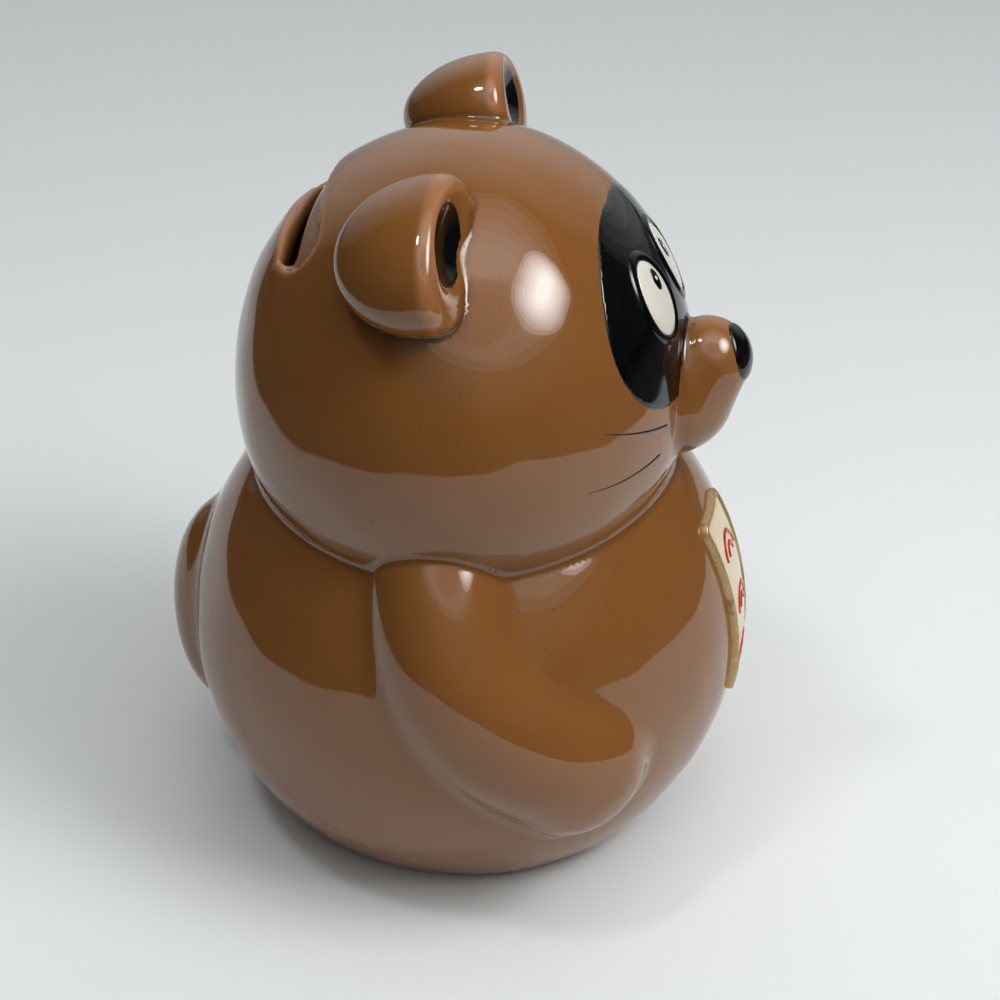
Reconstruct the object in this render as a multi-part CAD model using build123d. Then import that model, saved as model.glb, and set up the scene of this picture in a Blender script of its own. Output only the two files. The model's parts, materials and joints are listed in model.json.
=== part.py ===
from build123d import *
import os
from math import asin, atan2, cos, degrees, radians, sin, sqrt

# Seated raccoon dog coin bank in slip-cast, glazed earthenware, with a soft stopper in its base.
# Millimetres. The figure stands on z = 0, looks along -Y and has its own right side at -X.

# Torso: a sphere cut flat for the foot, hollow, with a recessed underside.
TORSO_R = 54.6
FOOT_CUT = 14.6
WALL = 4.5
FOOT_WIDTH = 10.2
FOOT_RECESS = 5.0
FLOOR = 5.0

# Head: a hollow ellipsoid sunk into the top of the torso.
HEAD_RX = 47.5
HEAD_RY = 43.3
HEAD_RZ = 47.0
HEAD_BACK = 0.35
HEAD_SUNK = 47.4
NECK_HOLE_R = 24.0

# Coin slot and the shallow landing round it, high on the back of the head.
SLOT_LENGTH = 36.0
SLOT_WIDTH = 4.6
SLOT_LEAN = 42.5
LANDING_LENGTH = 43.0
LANDING_WIDTH = 9.4
LANDING_DEPTH = 2.0

# Ears: domes with a flat front and an oval dish in it.
EAR_SPREAD = 38.57
EAR_RAISE = 3.66
EAR_BACK = -0.25
EAR_RX = 15.9
EAR_RY = 17.6
EAR_RZ = 11.0
EAR_LEAN = 24.0
EAR_TILT = 12.0
EAR_FRONT = 4.4
DISH_R = 7.0
DISH_STRETCH = 1.3
DISH_DEPTH = 3.0
DISH_UP = 1.9
LINING = 0.6

# Muzzle: a blunt cone between a large ball and a small one.
MUZZLE_SUNK = 3.7
MUZZLE_ROOT_UP = -1.2
MUZZLE_ROOT_R = 12.0
MUZZLE_LENGTH = 6.6
MUZZLE_LIFT = 7.4
MUZZLE_TIP_R = 8.1
NOSE_LENGTH = 2.0
NOSE_TILT = 20.0

# Arms: bent limbs half sunk into the torso, given from shoulder to paw. Each section's centre has a turn
# towards the front and a rise, in degrees about the torso's centre, and a depth below its surface.
ARM_TURN = (-0.7, 4.7, 12.2, 24.8, 33.5)
ARM_RISE = (44.3, 27.8, 10.6, -0.8, -7.5)
ARM_SUNK = (8.8, 7.6, 9.4, 10.1, 10.5)
ARM_R = (13.5, 14.0, 15.2, 16.1, 16.7)

# Tail: an oval lump at the back.
TAIL_SUNK = 6.1
TAIL_UP = -4.0
TAIL_RX = 15.0
TAIL_RY = 12.5
TAIL_RZ = 24.0

# Glaze and enamel coats on the face. Sides and whisker heights are measured from the head's centre.
COAT = 0.4
MASK_X = 7.0
MASK_BELOW_EYE = 1.8
MASK_LONG = 20.7
MASK_SHORT = 15.3
MASK_DROOP = 29.2
EYE_X = 8.6
EYE_OVER_MUZZLE = 11.6
EYE_WIDE = 5.0
EYE_HIGH = 6.4
EYE_LEAN = 14.0
RIM_WIDTH = 1.2
RIM_RAISE = 0.7
WHITE_RAISE = 0.6
PUPIL_INSET = 2.0
PUPIL_OVER_EYE = 2.6
PUPIL_WIDE = 1.35
PUPIL_HIGH = 1.95
GLINT_R = 0.45
GLINT_UP = 0.2
WHISKER_OUTER_X = (32.4, 35.4)
WHISKER_OUTER_UP = (7.0, -3.7)
WHISKER_INNER_X = (16.4, 18.6)
WHISKER_INNER_UP = (0.6, -4.5)
WHISKER_WIDTH = 0.9

# Plaque on the belly. Heights are measured from the torso's centre.
PLAQUE_HALF = 8.5
PLAQUE_TOP = 28.0
PLAQUE_BOTTOM = -10.0
PLAQUE_CORNER = 1.6
BORDER_WIDTH = 1.8
BORDER_RAISE = 1.8
FIELD_RAISE = 1.2
ARCH_OUTER = 4.6
ARCH_STROKE = 1.1
ARCH_ROWS = 3

# Stopper: a soft hollow plug with a flange and a grip bar.
PLUG_R = 15.0
PLUG_FIT = 0.08
PLUG_TAPER = 0.5
PLUG_WALL = 2.2
PLUG_HEIGHT = 9.0
FLANGE_R = 19.0
FLANGE_THICK = 2.0
FLANGE_GAP = 0.06
GRIP_LENGTH = 22.0
GRIP_WIDTH = 3.0
GRIP_HEIGHT = 1.6

# The torso's axis stands where the middle of the whole depth falls on y = 0.
BORDER_REACH = sqrt((TORSO_R + BORDER_RAISE) ** 2 - (PLAQUE_HALF - BORDER_WIDTH) ** 2)
MUZZLE_ROOT_OUT = HEAD_RY - MUZZLE_SUNK
MUZZLE_TIP_OUT = MUZZLE_ROOT_OUT + MUZZLE_LENGTH
NOSE_REACH = MUZZLE_TIP_OUT - HEAD_BACK + MUZZLE_TIP_R + COAT
FRONT_REACH = max(TORSO_R + FIELD_RAISE + COAT, BORDER_REACH, NOSE_REACH)
TAIL_BACK = TORSO_R - TAIL_SUNK
BACK_REACH = TAIL_BACK + TAIL_RY
AXIS_Y = (FRONT_REACH - BACK_REACH) / 2

# Heights and sides that follow from the sizes above.
TORSO_Z = TORSO_R - FOOT_CUT
HEAD_Z = TORSO_Z + TORSO_R - HEAD_SUNK + HEAD_RZ
FOOT_R = sqrt(TORSO_R ** 2 - TORSO_Z ** 2)
EYE_UP = MUZZLE_ROOT_UP + MUZZLE_ROOT_R + EYE_OVER_MUZZLE
MASK_UP = EYE_UP - MASK_BELOW_EYE
PUPIL_UP = EYE_UP + PUPIL_OVER_EYE
PUPIL_X = EYE_X - PUPIL_INSET
EAR_X = (HEAD_RX + EAR_RAISE) * sin(radians(EAR_SPREAD))
EAR_UP = (HEAD_RZ + EAR_RAISE) * cos(radians(EAR_SPREAD))

TORSO_AT = Vector(0, AXIS_Y, TORSO_Z)
HEAD_AT = Vector(0, AXIS_Y + HEAD_BACK, HEAD_Z)
FLOOR_TOP = FOOT_RECESS + FLOOR
FAR = 3 * TORSO_R


def at(vector):
    return Pos(vector.X, vector.Y, vector.Z)


def ellipsoid(rx, ry, rz):
    return scale(Sphere(rx), by=(1.0, ry / rx, rz / rx))


def ball(grow=0.0):
    return at(TORSO_AT) * Sphere(TORSO_R + grow)


def skull(grow=0.0):
    return at(HEAD_AT) * ellipsoid(HEAD_RX + grow, HEAD_RY + grow, HEAD_RZ + grow)


def blunt_cone(root, root_r, tip, tip_r, grow=0.0):
    # Two balls joined by the cone that is tangent to both, turned about the line between them.
    big = root_r + grow
    small = tip_r + grow
    length = (tip - root).length
    slope = asin((big - small) / length)
    root_side = (big * cos(slope), big * sin(slope))
    tip_side = (small * cos(slope), length + small * sin(slope))
    root_mid = (big * cos(slope / 2 - radians(45)), big * sin(slope / 2 - radians(45)))
    tip_turn = (slope + radians(90)) / 2
    tip_mid = (small * cos(tip_turn), length + small * sin(tip_turn))
    edges = [
        ThreePointArc((0, -big), root_mid, root_side),
        Line(root_side, tip_side),
        ThreePointArc(tip_side, tip_mid, (0, length + small)),
        Line((0, length + small), (0, -big)),
    ]
    face = Plane.XZ * make_face(edges)
    solid = revolve(face, Axis.Z)
    along = (tip - root).normalized()
    return Plane(origin=root, x_dir=(1, 0, 0), z_dir=along).location * solid


def front_prism(sketch):
    # A flat outline, drawn as seen from the front, pushed through the front half of the figure.
    plane = Plane(origin=(0, AXIS_Y, 0), x_dir=(1, 0, 0), z_dir=(0, -1, 0))
    return extrude(plane * sketch, amount=FAR)


def head_coat(sketch, low, high):
    shell = skull(high) - skull(low)
    return shell & front_prism(Pos(0, HEAD_Z) * sketch)


def torso_coat(sketch, low, high):
    shell = ball(high) - ball(low)
    return shell & front_prism(Pos(0, TORSO_Z) * sketch)


def only(shape):
    # The single solid of a result that is one piece.
    return max(shape.solids(), key=lambda solid: solid.volume)


skull_solid = skull()
torso_solid = ball()

# Stopper hole and the torso round it.
hole_r = PLUG_R + PLUG_FIT
below = Pos(0, AXIS_Y, -FAR / 2) * Box(FAR * 2, FAR * 2, FAR)
under_floor = Pos(0, AXIS_Y, FLOOR_TOP - FAR / 2) * Box(FAR * 2, FAR * 2, FAR)
recess = Pos(0, AXIS_Y, FOOT_RECESS / 2) * Cylinder(FOOT_R - FOOT_WIDTH, FOOT_RECESS)
hole = Pos(0, AXIS_Y, FLOOR_TOP / 2) * Cylinder(hole_r, FLOOR_TOP + FLOOR)
chamber = ball(-WALL) - under_floor
body_shell = only(torso_solid - below - chamber - recess - hole - skull_solid)

# Head with its slot, landing and open neck.
slot_back = HEAD_RY * sin(radians(SLOT_LEAN))
slot_rise = HEAD_RZ * cos(radians(SLOT_LEAN))
slot_y = HEAD_AT.Y + slot_back
slot_z = HEAD_Z + slot_rise
slot_normal = Vector(0, slot_back / HEAD_RY ** 2, slot_rise / HEAD_RZ ** 2).normalized()
slot_place = Plane(origin=(0, slot_y, slot_z), x_dir=(1, 0, 0), z_dir=slot_normal)
landing_outline = slot_place * SlotOverall(LANDING_LENGTH, LANDING_WIDTH)
landing = extrude(landing_outline, amount=HEAD_RX / 2, both=True) - skull(-LANDING_DEPTH)
slot_outline = Plane(origin=(0, slot_y, HEAD_Z), x_dir=(1, 0, 0), z_dir=(0, 0, 1))
slot = extrude(slot_outline * SlotOverall(SLOT_LENGTH, SLOT_WIDTH), amount=HEAD_RZ + WALL)
neck_hole = Pos(0, HEAD_AT.Y, HEAD_Z - HEAD_RZ / 2) * Cylinder(NECK_HOLE_R, HEAD_RZ + 2 * WALL)
head_shell = only(skull_solid - skull(-WALL) - neck_hole - landing - slot)

# Muzzle and nose.
muzzle_root = HEAD_AT + Vector(0, -MUZZLE_ROOT_OUT, MUZZLE_ROOT_UP)
muzzle_tip = HEAD_AT + Vector(0, -MUZZLE_TIP_OUT, MUZZLE_ROOT_UP + MUZZLE_LIFT)
muzzle_solid = blunt_cone(muzzle_root, MUZZLE_ROOT_R, muzzle_tip, MUZZLE_TIP_R)
muzzle = only(muzzle_solid - skull_solid)
nose_way = Vector(0, -cos(radians(NOSE_TILT)), sin(radians(NOSE_TILT)))
nose_from = muzzle_tip + nose_way * (MUZZLE_TIP_R - NOSE_LENGTH)
nose_place = Plane(origin=nose_from, x_dir=(1, 0, 0), z_dir=nose_way).location
nose_block = nose_place * Pos(0, 0, FAR / 2) * Box(FAR, FAR, FAR)
nose_skin = blunt_cone(muzzle_root, MUZZLE_ROOT_R, muzzle_tip, MUZZLE_TIP_R, COAT)
nose_tip = only((nose_skin & nose_block) - muzzle_solid)

# Ears: one side is made and the other mirrored.
dish_ball_r = (DISH_R ** 2 + DISH_DEPTH ** 2) / (2 * DISH_DEPTH)
dish_y = -EAR_FRONT - (dish_ball_r - DISH_DEPTH)
ear_place = at(HEAD_AT) * Pos(EAR_X, EAR_BACK, EAR_UP) * Rot(0, EAR_LEAN, 0) * Rot(-EAR_TILT, 0, 0)
ear_front = Pos(0, -EAR_FRONT - FAR / 2, 0) * Box(FAR, FAR, FAR)
ear_blank = ellipsoid(EAR_RX, EAR_RY, EAR_RZ) - ear_front
lining_r = dish_ball_r - LINING
dish_ball = Pos(0, dish_y, DISH_UP) * ellipsoid(DISH_STRETCH * dish_ball_r, dish_ball_r, dish_ball_r)
lining_ball = Pos(0, dish_y, DISH_UP) * ellipsoid(DISH_STRETCH * lining_r, lining_r, lining_r)
ear_left = only(ear_place * (ear_blank - dish_ball) - skull_solid)
ear_lining_left = only(ear_place * ((ear_blank & dish_ball) - lining_ball) - skull_solid)

# Arms: round sections along a bent line, with a round end at the shoulder and at the paw.
arm_points = []
for turn, rise, sunk in zip(ARM_TURN, ARM_RISE, ARM_SUNK):
    side = cos(radians(rise)) * cos(radians(turn))
    front = cos(radians(rise)) * sin(radians(turn))
    heading = Vector(side, -front, sin(radians(rise)))
    arm_points.append(TORSO_AT + heading * (TORSO_R - sunk))
arm_line = Spline(*arm_points)
arm_sections = []
for point, radius in zip(arm_points, ARM_R):
    heading = arm_line.tangent_at(point)
    arm_sections.append(Plane(origin=point, z_dir=heading) * Circle(radius))
limb = loft(arm_sections)
for end, sign in ((0, -1), (-1, 1)):
    heading = arm_line.tangent_at(arm_points[end]) * sign
    dome = Sphere(ARM_R[end], arc_size1=0)
    limb += Plane(origin=arm_points[end], z_dir=heading).location * dome
arm_left = only(limb - torso_solid - skull_solid)

# Tail.
tail_solid = at(TORSO_AT) * Pos(0, TAIL_BACK, TAIL_UP) * ellipsoid(TAIL_RX, TAIL_RY, TAIL_RZ)
tail = only(tail_solid - torso_solid)

# Face coats.
lobe_right = Pos(-MASK_X, MASK_UP) * Rot(0, 0, MASK_DROOP) * Ellipse(MASK_LONG, MASK_SHORT)
lobe_left = Pos(MASK_X, MASK_UP) * Rot(0, 0, -MASK_DROOP) * Ellipse(MASK_LONG, MASK_SHORT)
eye_place = Pos(EYE_X, EYE_UP) * Rot(0, 0, EYE_LEAN)
white_outline = eye_place * Ellipse(EYE_WIDE, EYE_HIGH)
rim_outline = eye_place * Ellipse(EYE_WIDE + RIM_WIDTH, EYE_HIGH + RIM_WIDTH)
pupil_outline = Pos(PUPIL_X, PUPIL_UP) * Rot(0, 0, EYE_LEAN) * Ellipse(PUPIL_WIDE, PUPIL_HIGH)
glint_outline = Pos(PUPIL_X, PUPIL_UP + GLINT_UP) * Circle(GLINT_R)
both_rims = rim_outline + mirror(rim_outline, Plane.YZ)
eye_mask = only(head_coat(lobe_right + lobe_left - both_rims, 0, COAT) - muzzle_solid)
eye_rim_left = only(head_coat(rim_outline - white_outline, 0, RIM_RAISE) - muzzle_solid)
eye_white_left = only(head_coat(white_outline, 0, WHITE_RAISE) - muzzle_solid)
pupil_left = only(head_coat(pupil_outline, WHITE_RAISE, WHITE_RAISE + COAT))
glint_left = only(head_coat(glint_outline, WHITE_RAISE + COAT, WHITE_RAISE + 2 * COAT))

# Whiskers: tapered strokes on the cheeks.
strokes = []
for outer_x, outer_up, inner_x, inner_up in zip(WHISKER_OUTER_X, WHISKER_OUTER_UP, WHISKER_INNER_X, WHISKER_INNER_UP):
    run = Vector(outer_x - inner_x, outer_up - inner_up)
    turn = degrees(atan2(run.Y, run.X))
    half = WHISKER_WIDTH / 2
    stroke = Polygon((0, -half), (run.length, -half / 3), (run.length, half / 3), (0, half), align=None)
    strokes.append(head_coat(Pos(inner_x, inner_up) * Rot(0, 0, turn) * stroke, 0, COAT) - muzzle_solid)
whiskers_left = [only(stroke) for stroke in strokes]

# Plaque.
plaque_high = PLAQUE_TOP - PLAQUE_BOTTOM
plaque_mid = (PLAQUE_TOP + PLAQUE_BOTTOM) / 2
plate_outline = Pos(0, plaque_mid) * RectangleRounded(2 * PLAQUE_HALF, plaque_high, PLAQUE_CORNER)
field_w = 2 * (PLAQUE_HALF - BORDER_WIDTH)
field_h = plaque_high - 2 * BORDER_WIDTH
field_outline = Pos(0, plaque_mid) * Rectangle(field_w, field_h)
plaque_border = only(torso_coat(plate_outline - field_outline, 0, BORDER_RAISE))
plaque_field = only(torso_coat(field_outline, 0, FIELD_RAISE))
arches = []
row_pitch = field_h / ARCH_ROWS
for row in range(ARCH_ROWS):
    arch_base = plaque_mid - field_h / 2 + (row + 0.5) * row_pitch - ARCH_OUTER / 2
    lower_cut = Pos(0, -ARCH_OUTER) * Rectangle(4 * ARCH_OUTER, 2 * ARCH_OUTER)
    outer_arch = Circle(ARCH_OUTER) - Circle(ARCH_OUTER - ARCH_STROKE) - lower_cut
    inner_arch = Circle(ARCH_OUTER - 2 * ARCH_STROKE) - lower_cut
    for arch in (outer_arch, inner_arch):
        arches.append(only(torso_coat(Pos(0, arch_base) * arch, FIELD_RAISE, FIELD_RAISE + COAT)))

# Stopper: turned plug, open at the top, with a grip bar below the flange.
flange_top = FOOT_RECESS - FLANGE_GAP
flange_low = flange_top - FLANGE_THICK
plug_top = flange_top + PLUG_HEIGHT
plug_profile = Polygon(
    (0, flange_low),
    (FLANGE_R, flange_low),
    (FLANGE_R, flange_top),
    (PLUG_R, flange_top),
    (PLUG_R - PLUG_TAPER, plug_top),
    (PLUG_R - PLUG_TAPER - PLUG_WALL, plug_top),
    (PLUG_R - PLUG_TAPER - PLUG_WALL, flange_top),
    (0, flange_top),
    align=None,
)
plug = Pos(0, AXIS_Y, 0) * revolve(Plane.XZ * plug_profile, Axis.Z)
grip = Pos(0, AXIS_Y, flange_low - GRIP_HEIGHT / 2) * Box(GRIP_LENGTH, GRIP_WIDTH, GRIP_HEIGHT)
stopper = only(plug + grip)


def other_side(solid):
    return mirror(solid, Plane.YZ)


pieces = {
    "body_shell": body_shell,
    "head_shell": head_shell,
    "muzzle": muzzle,
    "nose_tip": nose_tip,
    "ear_left": ear_left,
    "ear_right": other_side(ear_left),
    "ear_lining_left": ear_lining_left,
    "ear_lining_right": other_side(ear_lining_left),
    "arm_left": arm_left,
    "arm_right": other_side(arm_left),
    "tail": tail,
    "eye_mask": eye_mask,
    "eye_rim_left": eye_rim_left,
    "eye_rim_right": other_side(eye_rim_left),
    "eye_white_left": eye_white_left,
    "eye_white_right": other_side(eye_white_left),
    "pupil_left": pupil_left,
    "pupil_right": other_side(pupil_left),
    "eye_glints": Compound(children=[glint_left, other_side(glint_left)]),
    "whiskers": Compound(children=whiskers_left + [other_side(stroke) for stroke in whiskers_left]),
    "plaque_field": plaque_field,
    "plaque_border": plaque_border,
    "plaque_ornament": Compound(children=arches),
    "stopper": stopper,
}

os.makedirs("parts", exist_ok=True)
for name, piece in pieces.items():
    piece.label = name
    export_step(piece, "parts/" + name + ".step")
    print(name, len(piece.solids()), "solids", round(piece.volume, 1), "mm3")
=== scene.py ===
# %% [markdown]
# # A glazed coin bank, dressed in Blender
# The object is a hollow raccoon dog, cast in red clay, covered in glossy brown glaze and painted on the
# face. A soft stopper closes its base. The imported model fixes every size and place, so it is loaded first
# and is never moved. Everything below is built round it, in the same frame.

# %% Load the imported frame
import json
import math
import bpy
import numpy as np
from mathutils import Matrix, Vector

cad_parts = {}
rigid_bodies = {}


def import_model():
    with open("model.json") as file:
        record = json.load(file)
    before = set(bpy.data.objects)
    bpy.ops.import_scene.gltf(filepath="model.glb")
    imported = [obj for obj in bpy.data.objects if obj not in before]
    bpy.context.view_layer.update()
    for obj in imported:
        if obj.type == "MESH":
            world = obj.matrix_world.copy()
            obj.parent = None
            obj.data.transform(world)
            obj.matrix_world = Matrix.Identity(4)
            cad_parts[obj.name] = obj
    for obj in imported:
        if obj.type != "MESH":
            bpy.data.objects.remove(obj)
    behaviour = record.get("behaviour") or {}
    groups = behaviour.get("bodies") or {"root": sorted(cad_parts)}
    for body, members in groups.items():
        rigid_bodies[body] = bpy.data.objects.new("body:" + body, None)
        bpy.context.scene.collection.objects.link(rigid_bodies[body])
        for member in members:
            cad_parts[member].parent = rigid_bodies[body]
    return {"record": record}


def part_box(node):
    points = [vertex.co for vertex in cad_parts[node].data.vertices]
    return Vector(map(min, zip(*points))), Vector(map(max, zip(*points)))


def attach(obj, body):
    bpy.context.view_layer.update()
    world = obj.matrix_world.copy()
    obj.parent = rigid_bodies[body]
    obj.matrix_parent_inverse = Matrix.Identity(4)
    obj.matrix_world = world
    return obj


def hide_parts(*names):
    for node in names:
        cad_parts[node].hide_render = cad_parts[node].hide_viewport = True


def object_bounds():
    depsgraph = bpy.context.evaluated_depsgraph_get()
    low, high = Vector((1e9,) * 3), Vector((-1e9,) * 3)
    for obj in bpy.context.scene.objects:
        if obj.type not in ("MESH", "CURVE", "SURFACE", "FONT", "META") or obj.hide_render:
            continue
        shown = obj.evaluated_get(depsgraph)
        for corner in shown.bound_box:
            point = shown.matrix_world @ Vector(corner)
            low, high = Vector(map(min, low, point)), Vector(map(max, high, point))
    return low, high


for thing in list(bpy.data.objects):
    bpy.data.objects.remove(thing)
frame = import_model()
cad_low, cad_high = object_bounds()

# %% [markdown]
# ## Sizes
# Distances are easier to think about in millimetres, so the shapes are worked out in millimetres and turned
# into metres when a mesh is made. The two big forms are measured on the frame: the torso is a ball with a
# flat foot, and the head is an ellipsoid sunk into it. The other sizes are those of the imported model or
# near them.

# %% Read the torso and the head from the frame
MM = 0.001
FOOT_CUT = 14.6
HEAD_RZ = 47.0
WALL = 4.5


def box_mm(node_name):
    low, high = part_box(node_name)
    return np.array(low) / MM, np.array(high) / MM


body_low, body_high = box_mm("body_shell")
head_low, head_high = box_mm("head_shell")
TORSO_R = (body_high[0] - body_low[0]) / 2
AXIS_Y = (body_low[1] + body_high[1]) / 2
TORSO_AT = np.array([0.0, AXIS_Y, TORSO_R - FOOT_CUT])
HEAD_R = np.array([(head_high[0] - head_low[0]) / 2, (head_high[1] - head_low[1]) / 2, HEAD_RZ])
HEAD_AT = np.array([0.0, (head_low[1] + head_high[1]) / 2, head_high[2] - HEAD_RZ])
print("torso radius", TORSO_R.round(2), "at", TORSO_AT.round(2))
print("head radii", HEAD_R.round(2), "at", HEAD_AT.round(2))

# %% [markdown]
# ## Clay as a distance field
# The real figure was modelled in clay, where lumps were pressed on and their joints wiped round with a
# thumb. Box modelling could copy that with many hand-placed loops, and sculpting cannot be repeated by a
# script. A distance field can: each lump is a short formula that says how far a point is from its surface,
# and a smooth minimum of two formulas wipes the joint round, as the thumb did.

# %% Formulas for the lumps
TINY = 1e-9


def ease(low, high, value):
    t = np.clip((value - low) / (high - low), 0, 1)
    return t * t * (3 - 2 * t)


def smooth_min(a, b, width):
    overlap = np.maximum(width - np.abs(a - b), 0) / width
    return np.minimum(a, b) - overlap * overlap * width / 4


def smooth_max(a, b, width):
    return -smooth_min(-a, -b, width)


def length(q):
    return np.sqrt(sum(c * c for c in q))


def ball(p, at, radius):
    return length([p[i] - at[i] for i in range(3)]) - radius


def round_form(q, radii):
    # Distance to an oval or an ellipsoid, exact on its surface and close to exact near it.
    scaled = [c / r for c, r in zip(q, radii)]
    near = length(scaled)
    return near * (near - 1) / (length([c / r for c, r in zip(scaled, radii)]) + TINY)


def ellipsoid(p, at, radii):
    return round_form([p[i] - at[i] for i in range(3)], radii)


def blunt_cone(p, root, root_r, tip, tip_r):
    # Two balls and the cone that touches both.
    reach = np.linalg.norm(tip - root)
    axis = (tip - root) / reach
    q = [p[i] - root[i] for i in range(3)]
    along = sum(q[i] * axis[i] for i in range(3))
    away = np.sqrt(np.maximum(sum(c * c for c in q) - along * along, 0))
    lean = math.asin((root_r - tip_r) / reach)
    run = along * math.cos(lean) - away * math.sin(lean)
    flank = along * math.sin(lean) + away * math.cos(lean) - root_r
    at_tip = np.where(run > reach * math.cos(lean), np.hypot(along - reach, away) - tip_r, flank)
    return np.where(run < 0, np.hypot(along, away) - root_r, at_tip)


def stadium(u, v, long, wide):
    # A slot outline with round ends.
    return np.hypot(np.maximum(np.abs(u) - (long - wide) / 2, 0), v) - wide / 2


def rounded_box(a, b, half_a, half_b, corner):
    qa = np.abs(a) - half_a + corner
    qb = np.abs(b) - half_b + corner
    return np.hypot(np.maximum(qa, 0), np.maximum(qb, 0)) + np.minimum(np.maximum(qa, qb), 0) - corner


print("smooth minimum of two equal distances:", smooth_min(np.array(1.0), np.array(1.0), 2.0))

# %% [markdown]
# ## Muzzle, ears and tail
# The muzzle is a blunt cone, the tail an egg, and each ear a dome with a flat front and an oval dish in it.
# Both ears come from one formula: a point's side is dropped, so that left and right are mirror images.

# %% Place the small lumps
MUZZLE_ROOT = HEAD_AT + np.array([0.0, -39.6, -1.2])
MUZZLE_ROOT_R = 12.0
MUZZLE_TIP = MUZZLE_ROOT + np.array([0.0, -6.6, 7.4])
MUZZLE_TIP_R = 8.1
TAIL_AT = TORSO_AT + np.array([0.0, 48.5, -4.0])
TAIL_R = np.array([15.0, 12.5, 24.0])
EAR_AT = HEAD_AT + np.array([31.9, -0.25, 39.6])
EAR_R = np.array([15.9, 17.6, 11.0])
EAR_LEAN = math.radians(24)
EAR_NOD = math.radians(-12)
EAR_TURN = np.array(Matrix.Rotation(EAR_LEAN, 3, "Y") @ Matrix.Rotation(EAR_NOD, 3, "X"))
EAR_FRONT = 4.4
EAR_LIP = 3.0
DISH_R = 7.0
DISH_STRETCH = 1.3
DISH_DEPTH = 3.0
DISH_UP = 1.9
DISH_LIP = 1.4
DISH_BALL_R = (DISH_R ** 2 + DISH_DEPTH ** 2) / (2 * DISH_DEPTH)
DISH_AT = np.array([0.0, DISH_DEPTH - EAR_FRONT - DISH_BALL_R, DISH_UP])


def muzzle(p):
    return blunt_cone(p, MUZZLE_ROOT, MUZZLE_ROOT_R, MUZZLE_TIP, MUZZLE_TIP_R)


def ear(p):
    q = [np.abs(p[0]) - EAR_AT[0], p[1] - EAR_AT[1], p[2] - EAR_AT[2]]
    local = [sum(EAR_TURN[j, i] * q[j] for j in range(3)) for i in range(3)]
    dome = smooth_max(round_form(local, EAR_R), -EAR_FRONT - local[1], EAR_LIP)
    dish = ball([local[0] / DISH_STRETCH, local[1], local[2]], DISH_AT, DISH_BALL_R)
    return smooth_max(dome, -dish, DISH_LIP)


print("muzzle tip", MUZZLE_TIP.round(1), "ear", EAR_AT.round(1), "tail", TAIL_AT.round(1))

# %% [markdown]
# ## Arms
# Each arm is a roll of clay laid against the torso and bent at the elbow. Its middle line passes through
# five stations, given as a turn and a rise about the torso's centre and a depth under its surface. A curve
# of the fourth degree goes through five points exactly and is smooth all the way, which a glossy surface
# needs.

# %% Lay the arm's middle line
ARM_TURN = np.radians([-0.7, 4.7, 12.2, 24.8, 33.5])
ARM_RISE = np.radians([44.3, 27.8, 10.6, -0.8, -7.5])
ARM_SUNK = np.array([8.8, 7.6, 9.4, 10.1, 10.5])
ARM_R = np.array([13.5, 14.0, 15.2, 16.1, 16.7])
ARM_DEGREE = len(ARM_R) - 1
ARM_SAMPLES = 64
FAR_OFF = 20.0
side = np.cos(ARM_RISE) * np.cos(ARM_TURN)
front = np.cos(ARM_RISE) * np.sin(ARM_TURN)
stations = TORSO_AT[:, None] + np.array([side, -front, np.sin(ARM_RISE)]) * (TORSO_R - ARM_SUNK)
chord = np.concatenate([[0], np.cumsum(np.linalg.norm(np.diff(stations), axis=0))])
arm_path = [np.polyfit(chord, stations[i], ARM_DEGREE) for i in range(3)]
arm_girth = np.polyfit(chord, ARM_R, ARM_DEGREE)
arm_marks = np.linspace(0, chord[-1], ARM_SAMPLES)
arm_line = np.array([np.polyval(curve, arm_marks) for curve in arm_path])
arm_reach_low = arm_line.min(1) - ARM_R.max() - FAR_OFF / 2
arm_reach_high = arm_line.max(1) + ARM_R.max() + FAR_OFF / 2


def limb(p):
    # Nearest mark on the line, then a parabola through it and its neighbours.
    def square(k):
        return sum((p[i] - arm_line[i][k]) ** 2 for i in range(3))

    best = np.full(p.shape[1], np.inf)
    mark = np.zeros(p.shape[1], int)
    for k in range(ARM_SAMPLES):
        here = square(k)
        closer = here < best
        best[closer] = here[closer]
        mark[closer] = k
    mark = np.clip(mark, 1, ARM_SAMPLES - 2)
    before, here, after = square(mark - 1), square(mark), square(mark + 1)
    shift = (before - after) / (2 * (before - 2 * here + after))
    t = np.clip(mark + shift, 0, ARM_SAMPLES - 1) * chord[-1] / (ARM_SAMPLES - 1)
    return length([p[i] - np.polyval(arm_path[i], t) for i in range(3)]) - np.polyval(arm_girth, t)


def arm(p):
    q = np.array([np.abs(p[0]), p[1], p[2]]).reshape(3, -1)
    near = np.all((q > arm_reach_low[:, None]) & (q < arm_reach_high[:, None]), axis=0)
    result = np.full(q.shape[1], FAR_OFF)
    result[near] = limb(q[:, near])
    return result.reshape(p[0].shape)


print("arm line", round(chord[-1], 1), "mm long, paw at", stations[:, -1].round(1))

# %% [markdown]
# ## One skin over all the lumps
# The skin joins the lumps with fillets of different widths. Neck and ears meet the head in a tight crease,
# the muzzle and the tail are wiped a little rounder, and an arm melts into the chest at its inner side but
# has a crisp edge along the back and below. A few long waves, a few hundredths of a millimetre high, are
# added as well. They are too low to see as shape, but they make reflections wander as on a hand-finished
# casting.

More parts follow.
